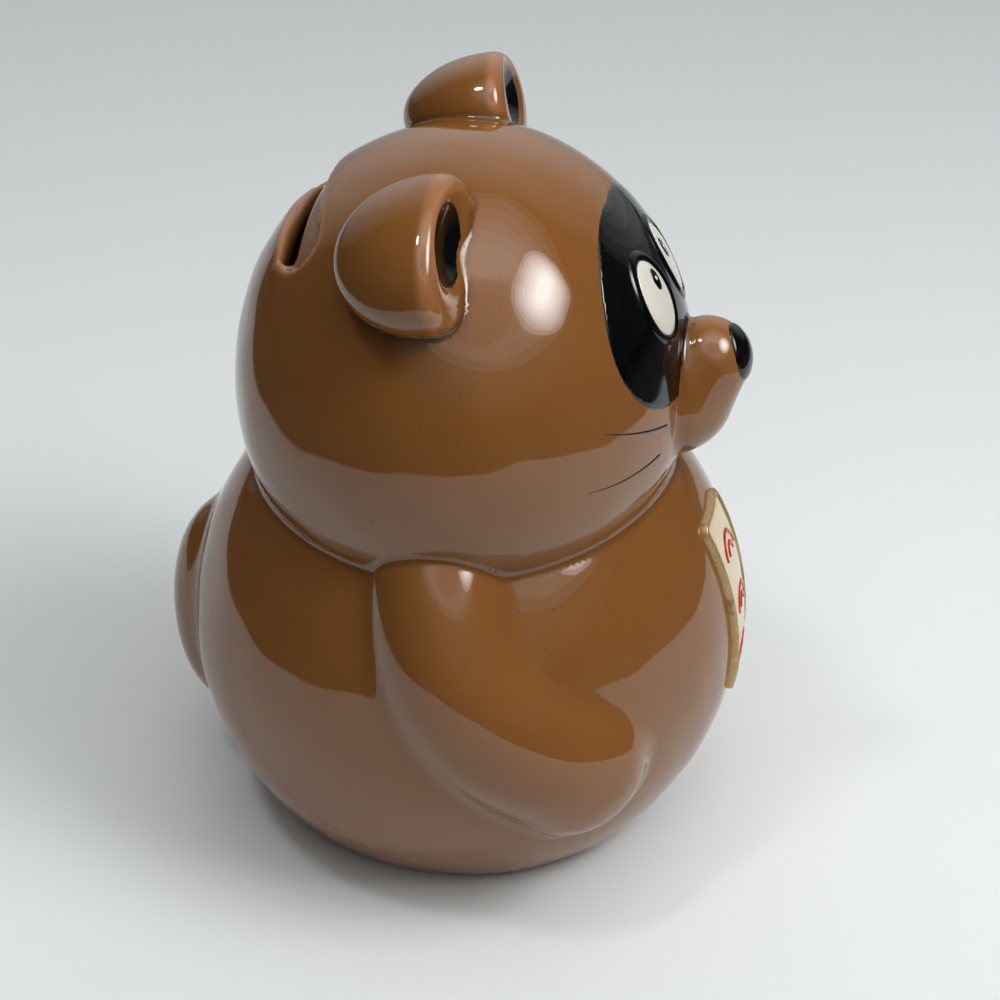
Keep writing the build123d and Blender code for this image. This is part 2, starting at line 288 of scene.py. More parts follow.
# %% Blend the lumps and add the waves
NECK_FILLET = 1.2
MUZZLE_FILLET = 1.8
EAR_FILLET = 1.1
TAIL_FILLET = 2.2
ARM_SOFT = 2.4
ARM_CRISP = 1.8
ARM_BEND_AT = TORSO_AT + np.array([0.0, -35.0, 30.0])
ARM_BEND_R = 36.0
ARM_CHANGE = (-5.0, 4.0)
FOOT_ROUND = 3.0
WAVE_LENGTHS = np.array([34.0, 29.0, 25.0, 21.0, 15.0, 13.0, 11.5, 10.0])
WAVE_STEEPNESS = 0.012
waves = np.random.default_rng(11)
wave_headings = waves.normal(size=(len(WAVE_LENGTHS), 3))
wave_headings /= np.linalg.norm(wave_headings, axis=1)[:, None]
wave_starts = waves.uniform(0, 2 * math.pi, len(WAVE_LENGTHS))


def ripple(p):
    total = 0.0
    for wave_length, heading, start in zip(WAVE_LENGTHS, wave_headings, wave_starts):
        turn = 2 * math.pi / wave_length
        phase = turn * sum(heading[i] * p[i] for i in range(3)) + start
        total = total + WAVE_STEEPNESS / turn * np.sin(phase)
    return total


def lumps(p):
    return {
        "skull": ellipsoid(p, HEAD_AT, HEAD_R),
        "torso": ball(p, TORSO_AT, TORSO_R),
        "muzzle": muzzle(p),
        "ear": ear(p),
        "arm": arm(p),
        "tail": ellipsoid(p, TAIL_AT, TAIL_R),
    }


def outer_skin(p, lump):
    outside_bend = np.hypot(p[1] - ARM_BEND_AT[1], p[2] - ARM_BEND_AT[2]) - ARM_BEND_R
    arm_fillet = ARM_SOFT + (ARM_CRISP - ARM_SOFT) * ease(*ARM_CHANGE, outside_bend)
    skin = smooth_min(lump["torso"], lump["tail"], TAIL_FILLET)
    skin = smooth_min(skin, lump["arm"], arm_fillet)
    skin = smooth_min(skin, lump["skull"], NECK_FILLET)
    skin = smooth_min(skin, lump["muzzle"], MUZZLE_FILLET)
    skin = smooth_min(skin, lump["ear"], EAR_FILLET)
    return smooth_max(skin + ripple(p), -p[2], FOOT_ROUND)


print("waves up to", round(WAVE_STEEPNESS * WAVE_LENGTHS.max() / (2 * math.pi), 3), "mm high")

# %% [markdown]
# ## Coin slot
# The slot sits high on the back of the head, in a shallow oval landing that guides the coin. Both are cut
# out of the skin with a smooth maximum, which rounds their lips the way glaze runs over an edge. The glaze
# also makes the slot a little narrower than the one in the clay.

# %% Cut the slot and its landing
SLOT_LEAN = math.radians(42.5)
SLOT_LENGTH = 36.0
SLOT_WIDTH = 4.6
SLOT_GLAZE = 1.1
SLOT_LIP = 1.5
LANDING_LENGTH = 43.0
LANDING_WIDTH = 9.4
LANDING_DEPTH = 2.0
LANDING_LIP = 1.6
slot_at = HEAD_AT + HEAD_R * np.array([0.0, math.sin(SLOT_LEAN), math.cos(SLOT_LEAN)])
slot_up = (slot_at - HEAD_AT) / HEAD_R ** 2
slot_up = slot_up / np.linalg.norm(slot_up)


def glazed_skin(p, lump):
    back, rise = p[1] - slot_at[1], p[2] - slot_at[2]
    across = back * slot_up[2] - rise * slot_up[1]
    over = back * slot_up[1] + rise * slot_up[2]
    landing = stadium(p[0], across, LANDING_LENGTH, LANDING_WIDTH)
    landing = smooth_max(landing, -(lump["skull"] + LANDING_DEPTH), LANDING_LIP)
    landing = np.maximum(landing, -over - HEAD_R[0] / 2)
    slot = np.maximum(stadium(p[0], back, SLOT_LENGTH, SLOT_WIDTH) + SLOT_GLAZE, HEAD_AT[2] - p[2])
    skin = smooth_max(outer_skin(p, lump), -landing, LANDING_LIP)
    return smooth_max(skin, -slot, SLOT_LIP)


def skin_at(p):
    return glazed_skin(p, lumps(p))


print("slot at", slot_at.round(1))

# %% [markdown]
# ## The hollow inside
# Slip casting leaves a shell of even thickness. The body is a chamber for coins with a floor, a hole for
# the stopper and a recessed underside, and the head is open at the neck and at the slot.

# %% Hollow out the body and the head
FOOT_RECESS = 5.0
FOOT_WIDTH = 10.2
FLOOR_TOP = 10.0
HOLE_R = 15.08
NECK_HOLE_R = 24.0
CLAY_ROUND = 1.0
FOOT_R = math.sqrt(TORSO_R ** 2 - TORSO_AT[2] ** 2)
RECESS_R = FOOT_R - FOOT_WIDTH


def body_hollow(p, lump):
    radius = np.hypot(p[0], p[1] - AXIS_Y)
    chamber = np.maximum(lump["torso"] + WALL, FLOOR_TOP - p[2])
    hole = np.maximum(radius - HOLE_R, p[2] - FLOOR_TOP - WALL)
    recess = np.maximum(radius - RECESS_R, p[2] - FOOT_RECESS)
    return smooth_min(smooth_min(chamber, hole, CLAY_ROUND), recess, CLAY_ROUND)


def head_hollow(p, lump):
    neck = np.maximum(np.hypot(p[0], p[1] - HEAD_AT[1]) - NECK_HOLE_R, p[2] - HEAD_AT[2])
    return smooth_min(lump["skull"] + WALL, neck, CLAY_ROUND)


print("foot ring from", round(RECESS_R, 1), "to", round(FOOT_R, 1), "mm")

# %% [markdown]
# ## From field to mesh
# A net of quads is stretched over the place where the field changes sign: each grid cell that the surface
# crosses gets one vertex, and cells that share a crossed edge share a quad. Blender's own voxel remesh
# works in a like way, but a net made here can be moved onto the exact surface afterwards.

# %% Stretch a net over a field


def net(values, origin, step):
    cells = tuple(n - 1 for n in values.shape)
    total = np.zeros((3,) + cells)
    hits = np.zeros(cells)
    crossed = []
    for axis in range(3):
        a = np.take(values, range(0, cells[axis]), axis)
        b = np.take(values, range(1, cells[axis] + 1), axis)
        cross = (a < 0) != (b < 0)
        share = np.where(cross, a / np.where(cross, a - b, 1), 0)
        others = [i for i in range(3) if i != axis]
        for du in (0, 1):
            for dv in (0, 1):
                cut = [slice(None)] * 3
                cut[others[0]] = slice(du, du + cells[others[0]])
                cut[others[1]] = slice(dv, dv + cells[others[1]])
                here = cross[tuple(cut)]
                hits += here
                total[axis] += np.where(here, share[tuple(cut)], 0)
                total[others[0]] += here * du
                total[others[1]] += here * dv
        crossed.append((axis, others, cross, a < 0))
    used = hits > 0
    number = np.full(cells, -1)
    number[used] = np.arange(used.sum())
    corner = np.array(np.nonzero(used))
    points = origin[:, None] + (corner + total[:, used] / hits[used]) * step
    return points, np.concatenate([net_quads(number, *edge) for edge in crossed])


def net_quads(number, axis, others, cross, inside):
    found = np.array(np.nonzero(cross))
    keep = np.all([found[i] > 0 for i in others], axis=0)
    keep &= np.all([found[i] < number.shape[i] for i in others], axis=0)
    found = found[:, keep]
    ring = []
    for du, dv in ((1, 1), (0, 1), (0, 0), (1, 0)):
        cell = found.copy()
        cell[others[0]] -= du
        cell[others[1]] -= dv
        ring.append(number[tuple(cell)])
    quads = np.stack(ring, 1)
    flip = inside[tuple(found)] == (axis == 1)
    quads[flip] = quads[flip][:, ::-1]
    return quads


def stretch(field, low, high, step):
    axes = [np.arange(low[i], high[i], step) for i in range(3)]
    grid = np.array(np.meshgrid(*axes, indexing="ij"))
    return net(field(grid), np.array([axis[0] for axis in axes]), step)


trial_points, trial_quads = stretch(lambda p: ball(p, np.zeros(3), 2.0), [-3] * 3, [4] * 3, 1.0)
print("a trial net over a ball has", trial_points.shape[1], "points and", len(trial_quads), "quads")

# %% [markdown]
# ## Onto the exact surface
# Each vertex of a net is moved onto the true surface by Newton steps, which use the field's slope. Where
# two pieces meet, the vertices are moved onto the line that both share, so that separate pieces fit without
# a gap.

# %% Settle a net on its field
NEWTON_STEPS = 5
EDGE_BAND = 0.7
LEAST_ANGLE = 0.05


def unit(vectors):
    return vectors / (length(vectors) + TINY)


def gradient(field, points, reach=0.02):
    shifts = reach * np.eye(3)[:, :, None]
    return np.array([field(points + shift) - field(points - shift) for shift in shifts]) / (2 * reach)


def settle(points, skin, wall, step):
    # Onto the skin, onto the wall between two pieces, or onto the line where they meet.
    a, b = skin(points), wall(points)
    on_skin = a > b - EDGE_BAND * step
    on_wall = b > a - EDGE_BAND * step
    for _ in range(NEWTON_STEPS):
        a = np.where(on_skin, skin(points), 0)
        b = np.where(on_wall, wall(points), 0)
        ga = gradient(skin, points) * on_skin
        gb = gradient(wall, points) * on_wall
        aa = (ga * ga).sum(0) + ~on_skin
        bb = (gb * gb).sum(0) + ~on_wall
        ab = (ga * gb).sum(0)
        det = np.maximum(aa * bb - ab * ab, LEAST_ANGLE * aa * bb)
        move = (a * bb - b * ab) / det * ga + (b * aa - a * ab) / det * gb
        points = points - move * np.minimum(1, step / (length(move) + TINY))
    return points


print("Newton steps for each net:", NEWTON_STEPS)

# %% [markdown]
# ## Which clay belongs to which piece
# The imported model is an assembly: head, body, muzzle, ears, arms and tail are separate. Inside the clay the
# head cuts the body, and both cut the smaller lumps. Out in a fillet, the nearer lump owns the clay. A
# piece that is cut keeps a thin tongue that slips under its neighbour's edge, so that no gap shows at a
# seam.

# %% Share the clay out
RANK = {"skull": 0, "torso": 1, "muzzle": 2, "ear": 2, "arm": 2, "tail": 2}
EDGE_REACH = 1.0
COARSE = 1.0


def outside_share(lump, mine):
    walls = []
    for other in lump:
        if RANK[mine] < RANK[other]:
            walls.append(lump[mine] - np.maximum(lump[other], 0))
        elif RANK[mine] > RANK[other]:
            walls.append(np.maximum(lump[mine], 0) - lump[other])
        elif other != mine:
            walls.append(lump[mine] - lump[other])
    return np.maximum.reduce(walls)


def bend_of(points):
    # Positive on edges that stick out and negative in creases. The brown finish paints edges lighter, for
    # thin glaze and a painted highlight, and creases darker, for pooled glaze and painted shade.
    shifts = EDGE_REACH * np.eye(3)[:, :, None]
    around = sum(skin_at(points + shift) + skin_at(points - shift) for shift in shifts)
    return (around - 6 * skin_at(points)) / EDGE_REACH ** 2


print("the head comes first, then", [form for form in RANK if RANK[form] == 1], "and the rest")

# %% [markdown]
# ## A cast piece
# A piece is netted, settled and given the normals of the smooth field, because the mesh's own normals would
# show every quad in a mirror-like glaze. How sharply the skin bends is stored on the mesh for the finish,
# and faces deep inside or under the foot are marked as bare clay.

# %% Build a piece from its share of the clay
CLAY_DEPTH = 1.1
TONGUE = 0.7
TONGUE_DIP = 0.4
THIN_AND_HIGHLIGHT_BEND = (0.12, 0.55)
POOL_AND_SHADE_BEND = (0.04, 0.5)


def add_object(name, data):
    made = bpy.data.objects.new(name, data)
    bpy.context.scene.collection.objects.link(made)
    return made


def make_object(name, points, faces, normals=None):
    mesh = bpy.data.meshes.new(name)
    mesh.from_pydata((points.T * MM).tolist(), [], faces.tolist())
    mesh.shade_smooth()
    if normals is not None:
        mesh.normals_split_custom_set(normals.reshape(3, -1).T.tolist())
    return add_object(name, mesh)


def keep_value(piece, name, values):
    layer = piece.data.attributes.new(name, "FLOAT", "POINT")
    layer.data.foreach_set("value", values.astype(np.float32))


def cast(name, form, step, low, high, hollow=None):
    step = step * COARSE
    tongue = TONGUE if RANK[form] else 0.0

    def smooth_solid(p, lump):
        skin = glazed_skin(p, lump)
        return skin if hollow is None else smooth_max(skin, -hollow(p, lump), CLAY_ROUND)

    def shape(p):
        return smooth_solid(p, lumps(p))

    def solid(p):
        lump = lumps(p)
        dip = TONGUE_DIP * np.maximum(outside_share(lump, form), 0) if tongue else 0
        return smooth_solid(p, lump) + dip

    def wall(p):
        return outside_share(lumps(p), form) - tongue

    points, faces = stretch(lambda p: np.maximum(solid(p), wall(p)), low - 2 * step, high + 3 * step, step)
    points = settle(points, solid, wall, step)
    middle = points[:, faces].mean(2)
    on_wall = wall(middle) > solid(middle)
    normals = unit(gradient(shape, points))[:, faces]
    normals[:, on_wall] = unit(gradient(wall, points))[:, faces[on_wall]]
    piece = make_object(name, points, faces, normals)
    bend = bend_of(points)
    # Edge value: thin glaze and a painted highlight in the brown finish.
    keep_value(piece, "thin_and_highlight", ease(*THIN_AND_HIGHLIGHT_BEND, bend))
    # Crease value: pooled glaze and painted shade in the brown finish.
    keep_value(piece, "pool_and_shade", ease(*POOL_AND_SHADE_BEND, -bend))
    bare = outer_skin(middle, lumps(middle)) < -CLAY_DEPTH
    on_foot = np.hypot(middle[0], middle[1] - AXIS_Y) < FOOT_R - FOOT_ROUND / 2
    bare |= on_foot & (middle[2] < FOOT_RECESS + CLAY_ROUND)
    piece.data.polygons.foreach_set("material_index", bare.astype(np.int32))
    print(name, len(faces), "quads, bare clay on", int(bare.sum()))
    return piece


print("clay more than", CLAY_DEPTH, "mm under the skin is left bare")

# %% [markdown]
# ## Cast the pieces
# The two shells are large and get a net of about a millimetre. The small lumps get a finer one.

# %% Cast the shells and the lumps
SHELL_STEP = 0.9
LUMP_STEP = 0.62
pieces = {
    "body_shell": cast("body", "torso", SHELL_STEP, body_low, body_high, body_hollow),
    "head_shell": cast("head", "skull", SHELL_STEP, head_low, head_high, head_hollow),
}
for lump_name in ("muzzle", "ear_left", "ear_right", "arm_left", "arm_right", "tail"):
    lump_form = lump_name.split("_")[0]
    lump_low, lump_high = box_mm(lump_name)
    margin = ARM_SOFT if lump_form == "arm" else NECK_FILLET
    pieces[lump_name] = cast(lump_name + "_clay", lump_form, LUMP_STEP, lump_low - margin, lump_high + margin)

# %% [markdown]
# ## Coats of coloured glaze and enamel
# The mask, eyes, nose, ear linings and plaque are brushed on in thick colour that stands a little proud and
# is rounded at its edge. A texture could show the colour but not that edge. So each coat is a thin closed
# sheet: a flat grid is trimmed to an outline, laid on the skin along a direction, and raised by a height
# that depends on how far a point is from the outline.

# %% Trim a grid to an outline
SNAP_STEPS = 4


def trimmed_grid(outline, low, high, step):
    axes = [np.arange(low[i], high[i] + step, step) for i in range(2)]
    u, v = np.meshgrid(*axes, indexing="ij")
    inside = outline(u, v) < step / 2
    i, j = np.nonzero(inside[:-1, :-1] & inside[1:, :-1] & inside[1:, 1:] & inside[:-1, 1:])
    wide = u.shape[1]
    quads = np.stack([i * wide + j, (i + 1) * wide + j, (i + 1) * wide + j + 1, i * wide + j + 1], 1)
    used, quads = np.unique(quads, return_inverse=True)
    quads = quads.reshape(-1, 4)
    edges = np.stack([quads, np.roll(quads, -1, 1)], -1).reshape(-1, 2)
    _, which, count = np.unique(np.sort(edges, 1), axis=0, return_inverse=True, return_counts=True)
    rim = edges[count[which.ravel()] == 1]
    u, v = u.ravel()[used], v.ravel()[used]
    border = np.unique(rim)
    nudge = step / 20
    for _ in range(SNAP_STEPS):
        bu, bv = u[border], v[border]
        gap = outline(bu, bv)
        gu = (outline(bu + nudge, bv) - outline(bu - nudge, bv)) / (2 * nudge)
        gv = (outline(bu, bv + nudge) - outline(bu, bv - nudge)) / (2 * nudge)
        size = gu * gu + gv * gv + TINY
        u[border] = bu - np.clip(gap * gu / size, -step, step)
        v[border] = bv - np.clip(gap * gv / size, -step, step)
    return u, v, quads, rim


def oval(u, v, at, wide, high, turn):
    c, s = math.cos(turn), math.sin(turn)
    a = (u - at[0]) * c + (v - at[1]) * s
    b = (v - at[1]) * c - (u - at[0]) * s
    return round_form((a, b), (wide, high))


print("the border is moved onto the outline in", SNAP_STEPS, "steps")

# %% [markdown]
# ## Laying a coat on
# The trimmed grid starts in front of the figure and walks towards the skin, a little less than the distance
# that is left each time, so that it cannot step through. A Shrinkwrap modifier would do nearly the same,
# but the walk ends on the exact skin. Top and underside are then joined round the rim, so that the coat is
# closed.

# %% A coat from an outline and a height
LAY_STEPS = 70
LAY_SHARE = 0.9
COAT_SUNK = 0.5
PILLOW_DIP = 0.12
FRONT_GAP = 10.0
front_y = cad_low[1] / MM - FRONT_GAP


def lay(start, heading):
    p = start.copy()
    for _ in range(LAY_STEPS):
        p = p + heading * (LAY_SHARE * skin_at(p))
    return p, unit(gradient(skin_at, p))


def from_front(u, v):
    return lay(np.array([u, np.full_like(u, front_y), v]), np.array([[0.0], [1.0], [0.0]]))


def coat(name, outline, low, high, step, height, onto=from_front, sunk=COAT_SUNK):
    u, v, quads, rim = trimmed_grid(outline, low, high, step * COARSE)
    points, up = onto(u, v)
    lift = height(np.maximum(-outline(u, v), 0))
    top = points + up * lift
    count = len(u)
    band = np.stack([rim[:, 1], rim[:, 0], rim[:, 0] + count, rim[:, 1] + count], 1)
    faces = np.concatenate([quads, quads[:, ::-1] + count, band])
    corner = top[:, quads[0]]
    facing = np.cross(corner[:, 1] - corner[:, 0], corner[:, 2] - corner[:, 0]) @ up[:, quads[0, 0]]
    if facing < 0:
        faces = faces[:, ::-1]
    print(name, len(faces), "quads, stands", round(float(lift.max()), 2), "mm proud")
    return make_object(name, np.concatenate([top, points - up * sunk], 1), faces)


def pillow(proud, edge, dip=PILLOW_DIP):
    # Height of a brushed coat: below the skin at the outline, then a round shoulder and a flat top.
    def height(inset):
        t = np.clip(inset / edge, 0, 1)
        return -dip + (proud + dip) * np.sqrt(1 - (1 - t) ** 2)

    return height


print("a pillow's height at its edge and inside:", pillow(0.3, 1.0)(np.array([0.0, 2.0])))

# %% [markdown]
# ## Mask
# Two drooping ovals of black glaze meet over the muzzle. The brush followed the muzzle's root, so the mask
# stops there, and its lower edge is a little ragged.

# %% Brush on the mask
MASK_X = 7.0
MASK_LONG = 20.7
MASK_SHORT = 15.3
MASK_DROOP = math.radians(29.2)
MASK_PROUD = 0.14
MASK_EDGE = 0.9
MASK_DIP = 0.03
MASK_RAGGED = 0.05
MASK_MUZZLE_GAP = 0.45
MASK_UNDER_EYE = 1.8
MASK_STEP = 0.42
MASK_REACH = np.array([32.0, 24.0])
EYE_AT = np.array([8.6, HEAD_AT[2] + 22.4])
mask_up = EYE_AT[1] - MASK_UNDER_EYE
mask_box = ((0.0, mask_up) - MASK_REACH, (0.0, mask_up) + MASK_REACH)


def head_front(u, v):
    # The head's own surface as seen from the front.
    room = 1 - ((u - HEAD_AT[0]) / HEAD_R[0]) ** 2 - ((v - HEAD_AT[2]) / HEAD_R[2]) ** 2
    return np.array([u, HEAD_AT[1] - HEAD_R[1] * np.sqrt(np.maximum(room, 0)), v])


def onto_head(u, v):
    # The muzzle overhangs its root, so the mask is laid on along the head's own normals.
    start = head_front(u, v)
    away = unit((start - HEAD_AT[:, None]) / (HEAD_R ** 2)[:, None])
    return lay(start, -away)


def mask_outline(u, v):
    ragged = MASK_RAGGED * np.sin(2.3 * u + 1.1 * v) * np.sin(1.7 * v - 0.6 * u) * ease(2, -8, v - mask_up)
    lobe = oval(np.abs(u), v, (MASK_X, mask_up), MASK_LONG, MASK_SHORT, -MASK_DROOP)
    return np.maximum(lobe + ragged, MASK_MUZZLE_GAP - muzzle(head_front(u, v)))


mask_height = pillow(MASK_PROUD, MASK_EDGE, MASK_DIP)
pieces["eye_mask"] = coat("mask", mask_outline, *mask_box, MASK_STEP, mask_height, onto_head)

# %% [markdown]
# ## Eyes
# Each eye is a raised black ring round a white oval, with a small pupil that looks up. They are stacked as
# they were painted: ring and white on the skin, the pupil on the white.

# %% Stack ring, white and pupil
SIDES = (("left", 1), ("right", -1))
EYE_WIDE = 5.0
EYE_HIGH = 6.4
EYE_LEAN = math.radians(14.0)
EYE_REACH = np.array([8.0, 9.0])
RING_WIDTH = 2.0
RING_SPREAD = 0.15
RING_PROUD = 0.55
RING_DIP = 0.06
RING_STEP = 0.17
WHITE_GROW = 0.2
WHITE_EDGE = 0.2
WHITE_ROUND = 1.6
WHITE_PROUD = 0.5
WHITE_STEP = 0.25
PUPIL_AT = EYE_AT + np.array([-2.0, 2.6])
PUPIL_WIDE = 1.35
PUPIL_HIGH = 1.95
PUPIL_STEP = 0.12
PUPIL_SUNK = -0.2
PAINT = 0.16
PAINT_EDGE = 0.5
PAINT_DIP = 0.08
pupil_lift = pillow(PAINT, PAINT_EDGE, PAINT_DIP)


def ring_height(inset):
    t = np.clip(1 - inset / (RING_WIDTH / 2 + RING_SPREAD), 0, 1)
    return -RING_DIP + (RING_PROUD + RING_DIP) * (1 - t * t)


def white_height(inset):
    t = np.clip(inset / WHITE_ROUND, 0, 1)
    return WHITE_EDGE + (WHITE_PROUD - WHITE_EDGE) * (1 - (1 - t) ** 2)


def pupil_height(inset):
    return WHITE_PROUD + pupil_lift(inset)


def paint_eye(word, sign):
    def eye_oval(u, v, grow):
        return oval(sign * u, v, EYE_AT, EYE_WIDE + grow, EYE_HIGH + grow, EYE_LEAN)

    def ring_outline(u, v):
        return np.abs(eye_oval(u, v, RING_WIDTH / 2)) - RING_WIDTH / 2 - RING_SPREAD

    def white_outline(u, v):
        return eye_oval(u, v, WHITE_GROW)

    def pupil_outline(u, v):
        return oval(sign * u, v, PUPIL_AT, PUPIL_WIDE, PUPIL_HIGH, EYE_LEAN)

    middle = EYE_AT * np.array([sign, 1])
    box = (middle - EYE_REACH, middle + EYE_REACH)
    pieces["eye_rim_" + word] = coat("eye_ring_" + word, ring_outline, *box, RING_STEP, ring_height)
    pieces["eye_white_" + word] = coat("eyeball_" + word, white_outline, *box, WHITE_STEP, white_height)
    pieces["pupil_" + word] = coat(
        "pupil_paint_" + word, pupil_outline, *box, PUPIL_STEP, pupil_height, sunk=PUPIL_SUNK)


for word, sign in SIDES:
    paint_eye(word, sign)

# %% [markdown]
# ## Dots in the eyes
# A drop of white on each pupil makes the eye look alive. Both drops are one coat with two islands.

# %% Add the dots
DOT_R = 0.45
DOT_UP = 0.2
DOT_DIP = 0.1
DOT_HIGH = 0.24
DOT_STEP = 0.08
DOT_SUNK = -0.4
DOT_REACH = 1.2
dot_level = PUPIL_AT[1] + DOT_UP


def dots_outline(u, v):
    return np.hypot(np.abs(u) - PUPIL_AT[0], v - PUPIL_AT[1] - DOT_UP) - DOT_R


def dot_height(inset):
    return WHITE_PROUD + PAINT - DOT_DIP + DOT_HIGH * np.sqrt(1 - (1 - np.clip(inset / DOT_R, 0, 1)) ** 2)


dots_low = (-PUPIL_AT[0] - DOT_REACH, dot_level - DOT_REACH)
dots_high = (PUPIL_AT[0] + DOT_REACH, dot_level + DOT_REACH)
dots_box = (dots_low, dots_high)
pieces["eye_glints"] = coat("eye_dots", dots_outline, *dots_box, DOT_STEP, dot_height, sunk=DOT_SUNK)

# %% [markdown]
# ## Nose
# The nose is a cap of black glaze over the muzzle's tip, laid on from in front and a little above, because
# the tip looks that way.

# %% Cap the nose
NOSE_LENGTH = 2.0
NOSE_TILT = math.radians(20)
NOSE_R = math.sqrt(MUZZLE_TIP_R ** 2 - (MUZZLE_TIP_R - NOSE_LENGTH) ** 2)
NOSE_SQUASH = 0.94
NOSE_RAGGED = 0.12
NOSE_START = 15.0
NOSE_REACH = 6
NOSE_STEP = 0.24
NOSE_PROUD = 0.3
NOSE_EDGE = 1.2
nose_way = np.array([0.0, -math.cos(NOSE_TILT), math.sin(NOSE_TILT)])
nose_side = np.array([1.0, 0.0, 0.0])
nose_up = np.cross(nose_way, nose_side)
nose_box = ((-NOSE_REACH, -NOSE_REACH), (NOSE_REACH, NOSE_REACH))
nose_height = pillow(NOSE_PROUD, NOSE_EDGE)


def nose_outline(u, v):
    return np.hypot(u, v * NOSE_SQUASH) - NOSE_R + NOSE_RAGGED * np.sin(3 * np.arctan2(v, u))


def onto_nose(u, v):
    start = MUZZLE_TIP + nose_way * NOSE_START
    start = start[:, None] + nose_side[:, None] * u + nose_up[:, None] * v
    return lay(start, -nose_way[:, None])


pieces["nose_tip"] = coat("nose", nose_outline, *nose_box, NOSE_STEP, nose_height, onto_nose)

# %% [markdown]
# ## Ear linings
# Each ear's dish is lined with black, laid on along the ear's own axis and stopped short of the head.

# %% Line the ears
LINING_INSET = 0.45
LINING_HEAD_GAP = 0.6
LINING_DEEP = 1.2
LINING_START = 8.0
LINING_STEP = 0.4
LINING_PROUD = 0.12
LINING_EDGE = 0.7
COAT_MARGIN = 1.0
lining_height = pillow(LINING_PROUD, LINING_EDGE)
lining_reach = np.array([DISH_R * DISH_STRETCH, DISH_R]) + COAT_MARGIN
lining_box = ((0.0, DISH_UP) - lining_reach, (0.0, DISH_UP) + lining_reach)


def ear_point(u, deep, v):
    return EAR_AT[:, None] + EAR_TURN @ np.array([u, np.full_like(u, deep), v])


def lining_outline(u, v):
    dish = oval(u, v, (0.0, DISH_UP), DISH_R * DISH_STRETCH - LINING_INSET, DISH_R - LINING_INSET, 0.0)
    rim = ear_point(np.ravel(u), LINING_DEEP - EAR_FRONT, np.ravel(v))
    return np.maximum(dish, LINING_HEAD_GAP - ellipsoid(rim, HEAD_AT, HEAD_R).reshape(np.shape(u)))


for word, sign in SIDES:
    mirror = np.array([[sign], [1], [1]])

    def onto_ear(u, v):
        return lay(mirror * ear_point(u, -EAR_FRONT - LINING_START, v), mirror * EAR_TURN[:, 1:2])

    pieces["ear_lining_" + word] = coat(
        "ear_dish_" + word, lining_outline, *lining_box, LINING_STEP, lining_height, onto_ear)

# %% [markdown]
# ## Plaque
# A tall plaque stands on the belly: a cream field in a rounded gold frame. The frame is one bead that
# follows a rounded rectangle, so its outline is the distance to that rectangle's line.

# %% Raise the plaque's field and frame
PLAQUE_HALF = 8.5
PLAQUE_TOP = TORSO_AT[2] + 28.0
PLAQUE_BOTTOM = TORSO_AT[2] - 10.0
PLAQUE_CORNER = 1.6
BORDER_WIDTH = 1.8
BORDER_PROUD = 1.3
BORDER_STEP = 0.25
FIELD_INSET = BORDER_WIDTH * 0.7
FIELD_STEP = 0.4
FIELD_PROUD = 0.9
FIELD_EDGE = 0.8
plaque_mid = (PLAQUE_TOP + PLAQUE_BOTTOM) / 2
plaque_half_high = (PLAQUE_TOP - PLAQUE_BOTTOM) / 2
plaque_reach = np.array([PLAQUE_HALF, plaque_half_high]) + COAT_MARGIN
plaque_box = ((0.0, plaque_mid) - plaque_reach, (0.0, plaque_mid) + plaque_reach)
field_height = pillow(FIELD_PROUD, FIELD_EDGE)


def plate(u, v, inset):
    return rounded_box(u, v - plaque_mid, PLAQUE_HALF - inset, plaque_half_high - inset, PLAQUE_CORNER)


def frame_outline(u, v):
    return np.abs(plate(u, v, BORDER_WIDTH / 2)) - BORDER_WIDTH / 2


def field_outline(u, v):
    return plate(u, v, FIELD_INSET)


frame_height = pillow(BORDER_PROUD, BORDER_WIDTH / 2)
pieces["plaque_field"] = coat("plaque_field_enamel", field_outline, *plaque_box, FIELD_STEP, field_height)
pieces["plaque_border"] = coat("plaque_frame", frame_outline, *plaque_box, BORDER_STEP, frame_height)

# %% [markdown]
# ## Stopper
# A soft plug closes the base: a hollow tapered cup with a flange outside and a grip bar to pull it by. It
# is turned, so its formula is a flat profile in radius and height, and all its edges are rounded as moulded
# rubber's are. It is built at its rest place and later rides on the body that slides out.

# %% Mould the stopper
PLUG_R = 15.0
PLUG_TAPER = 0.5
PLUG_WALL = 2.2
PLUG_HEIGHT = 9.0
FLANGE_R = 19.0
FLANGE_THICK = 2.0
FLANGE_GAP = 0.06
GRIP_LENGTH = 22.0
GRIP_WIDTH = 3.0
GRIP_HEIGHT = 1.6
SOFT_EDGE = 0.45
STOPPER_STEP = 0.5
flange_top = FOOT_RECESS - FLANGE_GAP
grip_level = flange_top - FLANGE_THICK - GRIP_HEIGHT / 2
stopper_step = STOPPER_STEP * COARSE


def stopper_field(p):
    radius = np.hypot(p[0], p[1] - AXIS_Y)
    rise = p[2] - flange_top
    flange = rounded_box(radius, rise + FLANGE_THICK / 2, FLANGE_R, FLANGE_THICK / 2, SOFT_EDGE)
    middle = PLUG_R - PLUG_WALL / 2 - PLUG_TAPER * np.clip(rise / PLUG_HEIGHT, 0, 1)
    cup = rounded_box(radius - middle, rise - PLUG_HEIGHT / 2, PLUG_WALL / 2, PLUG_HEIGHT / 2, SOFT_EDGE)
    bar = stadium(p[0], p[1] - AXIS_Y, GRIP_LENGTH, GRIP_WIDTH)
    bar = smooth_max(bar, np.abs(p[2] - grip_level) - GRIP_HEIGHT / 2, 2 * SOFT_EDGE)
    return smooth_min(np.minimum(flange, cup), bar, SOFT_EDGE)


def no_wall(p):
    return np.full(p.shape[1], -FAR_OFF)


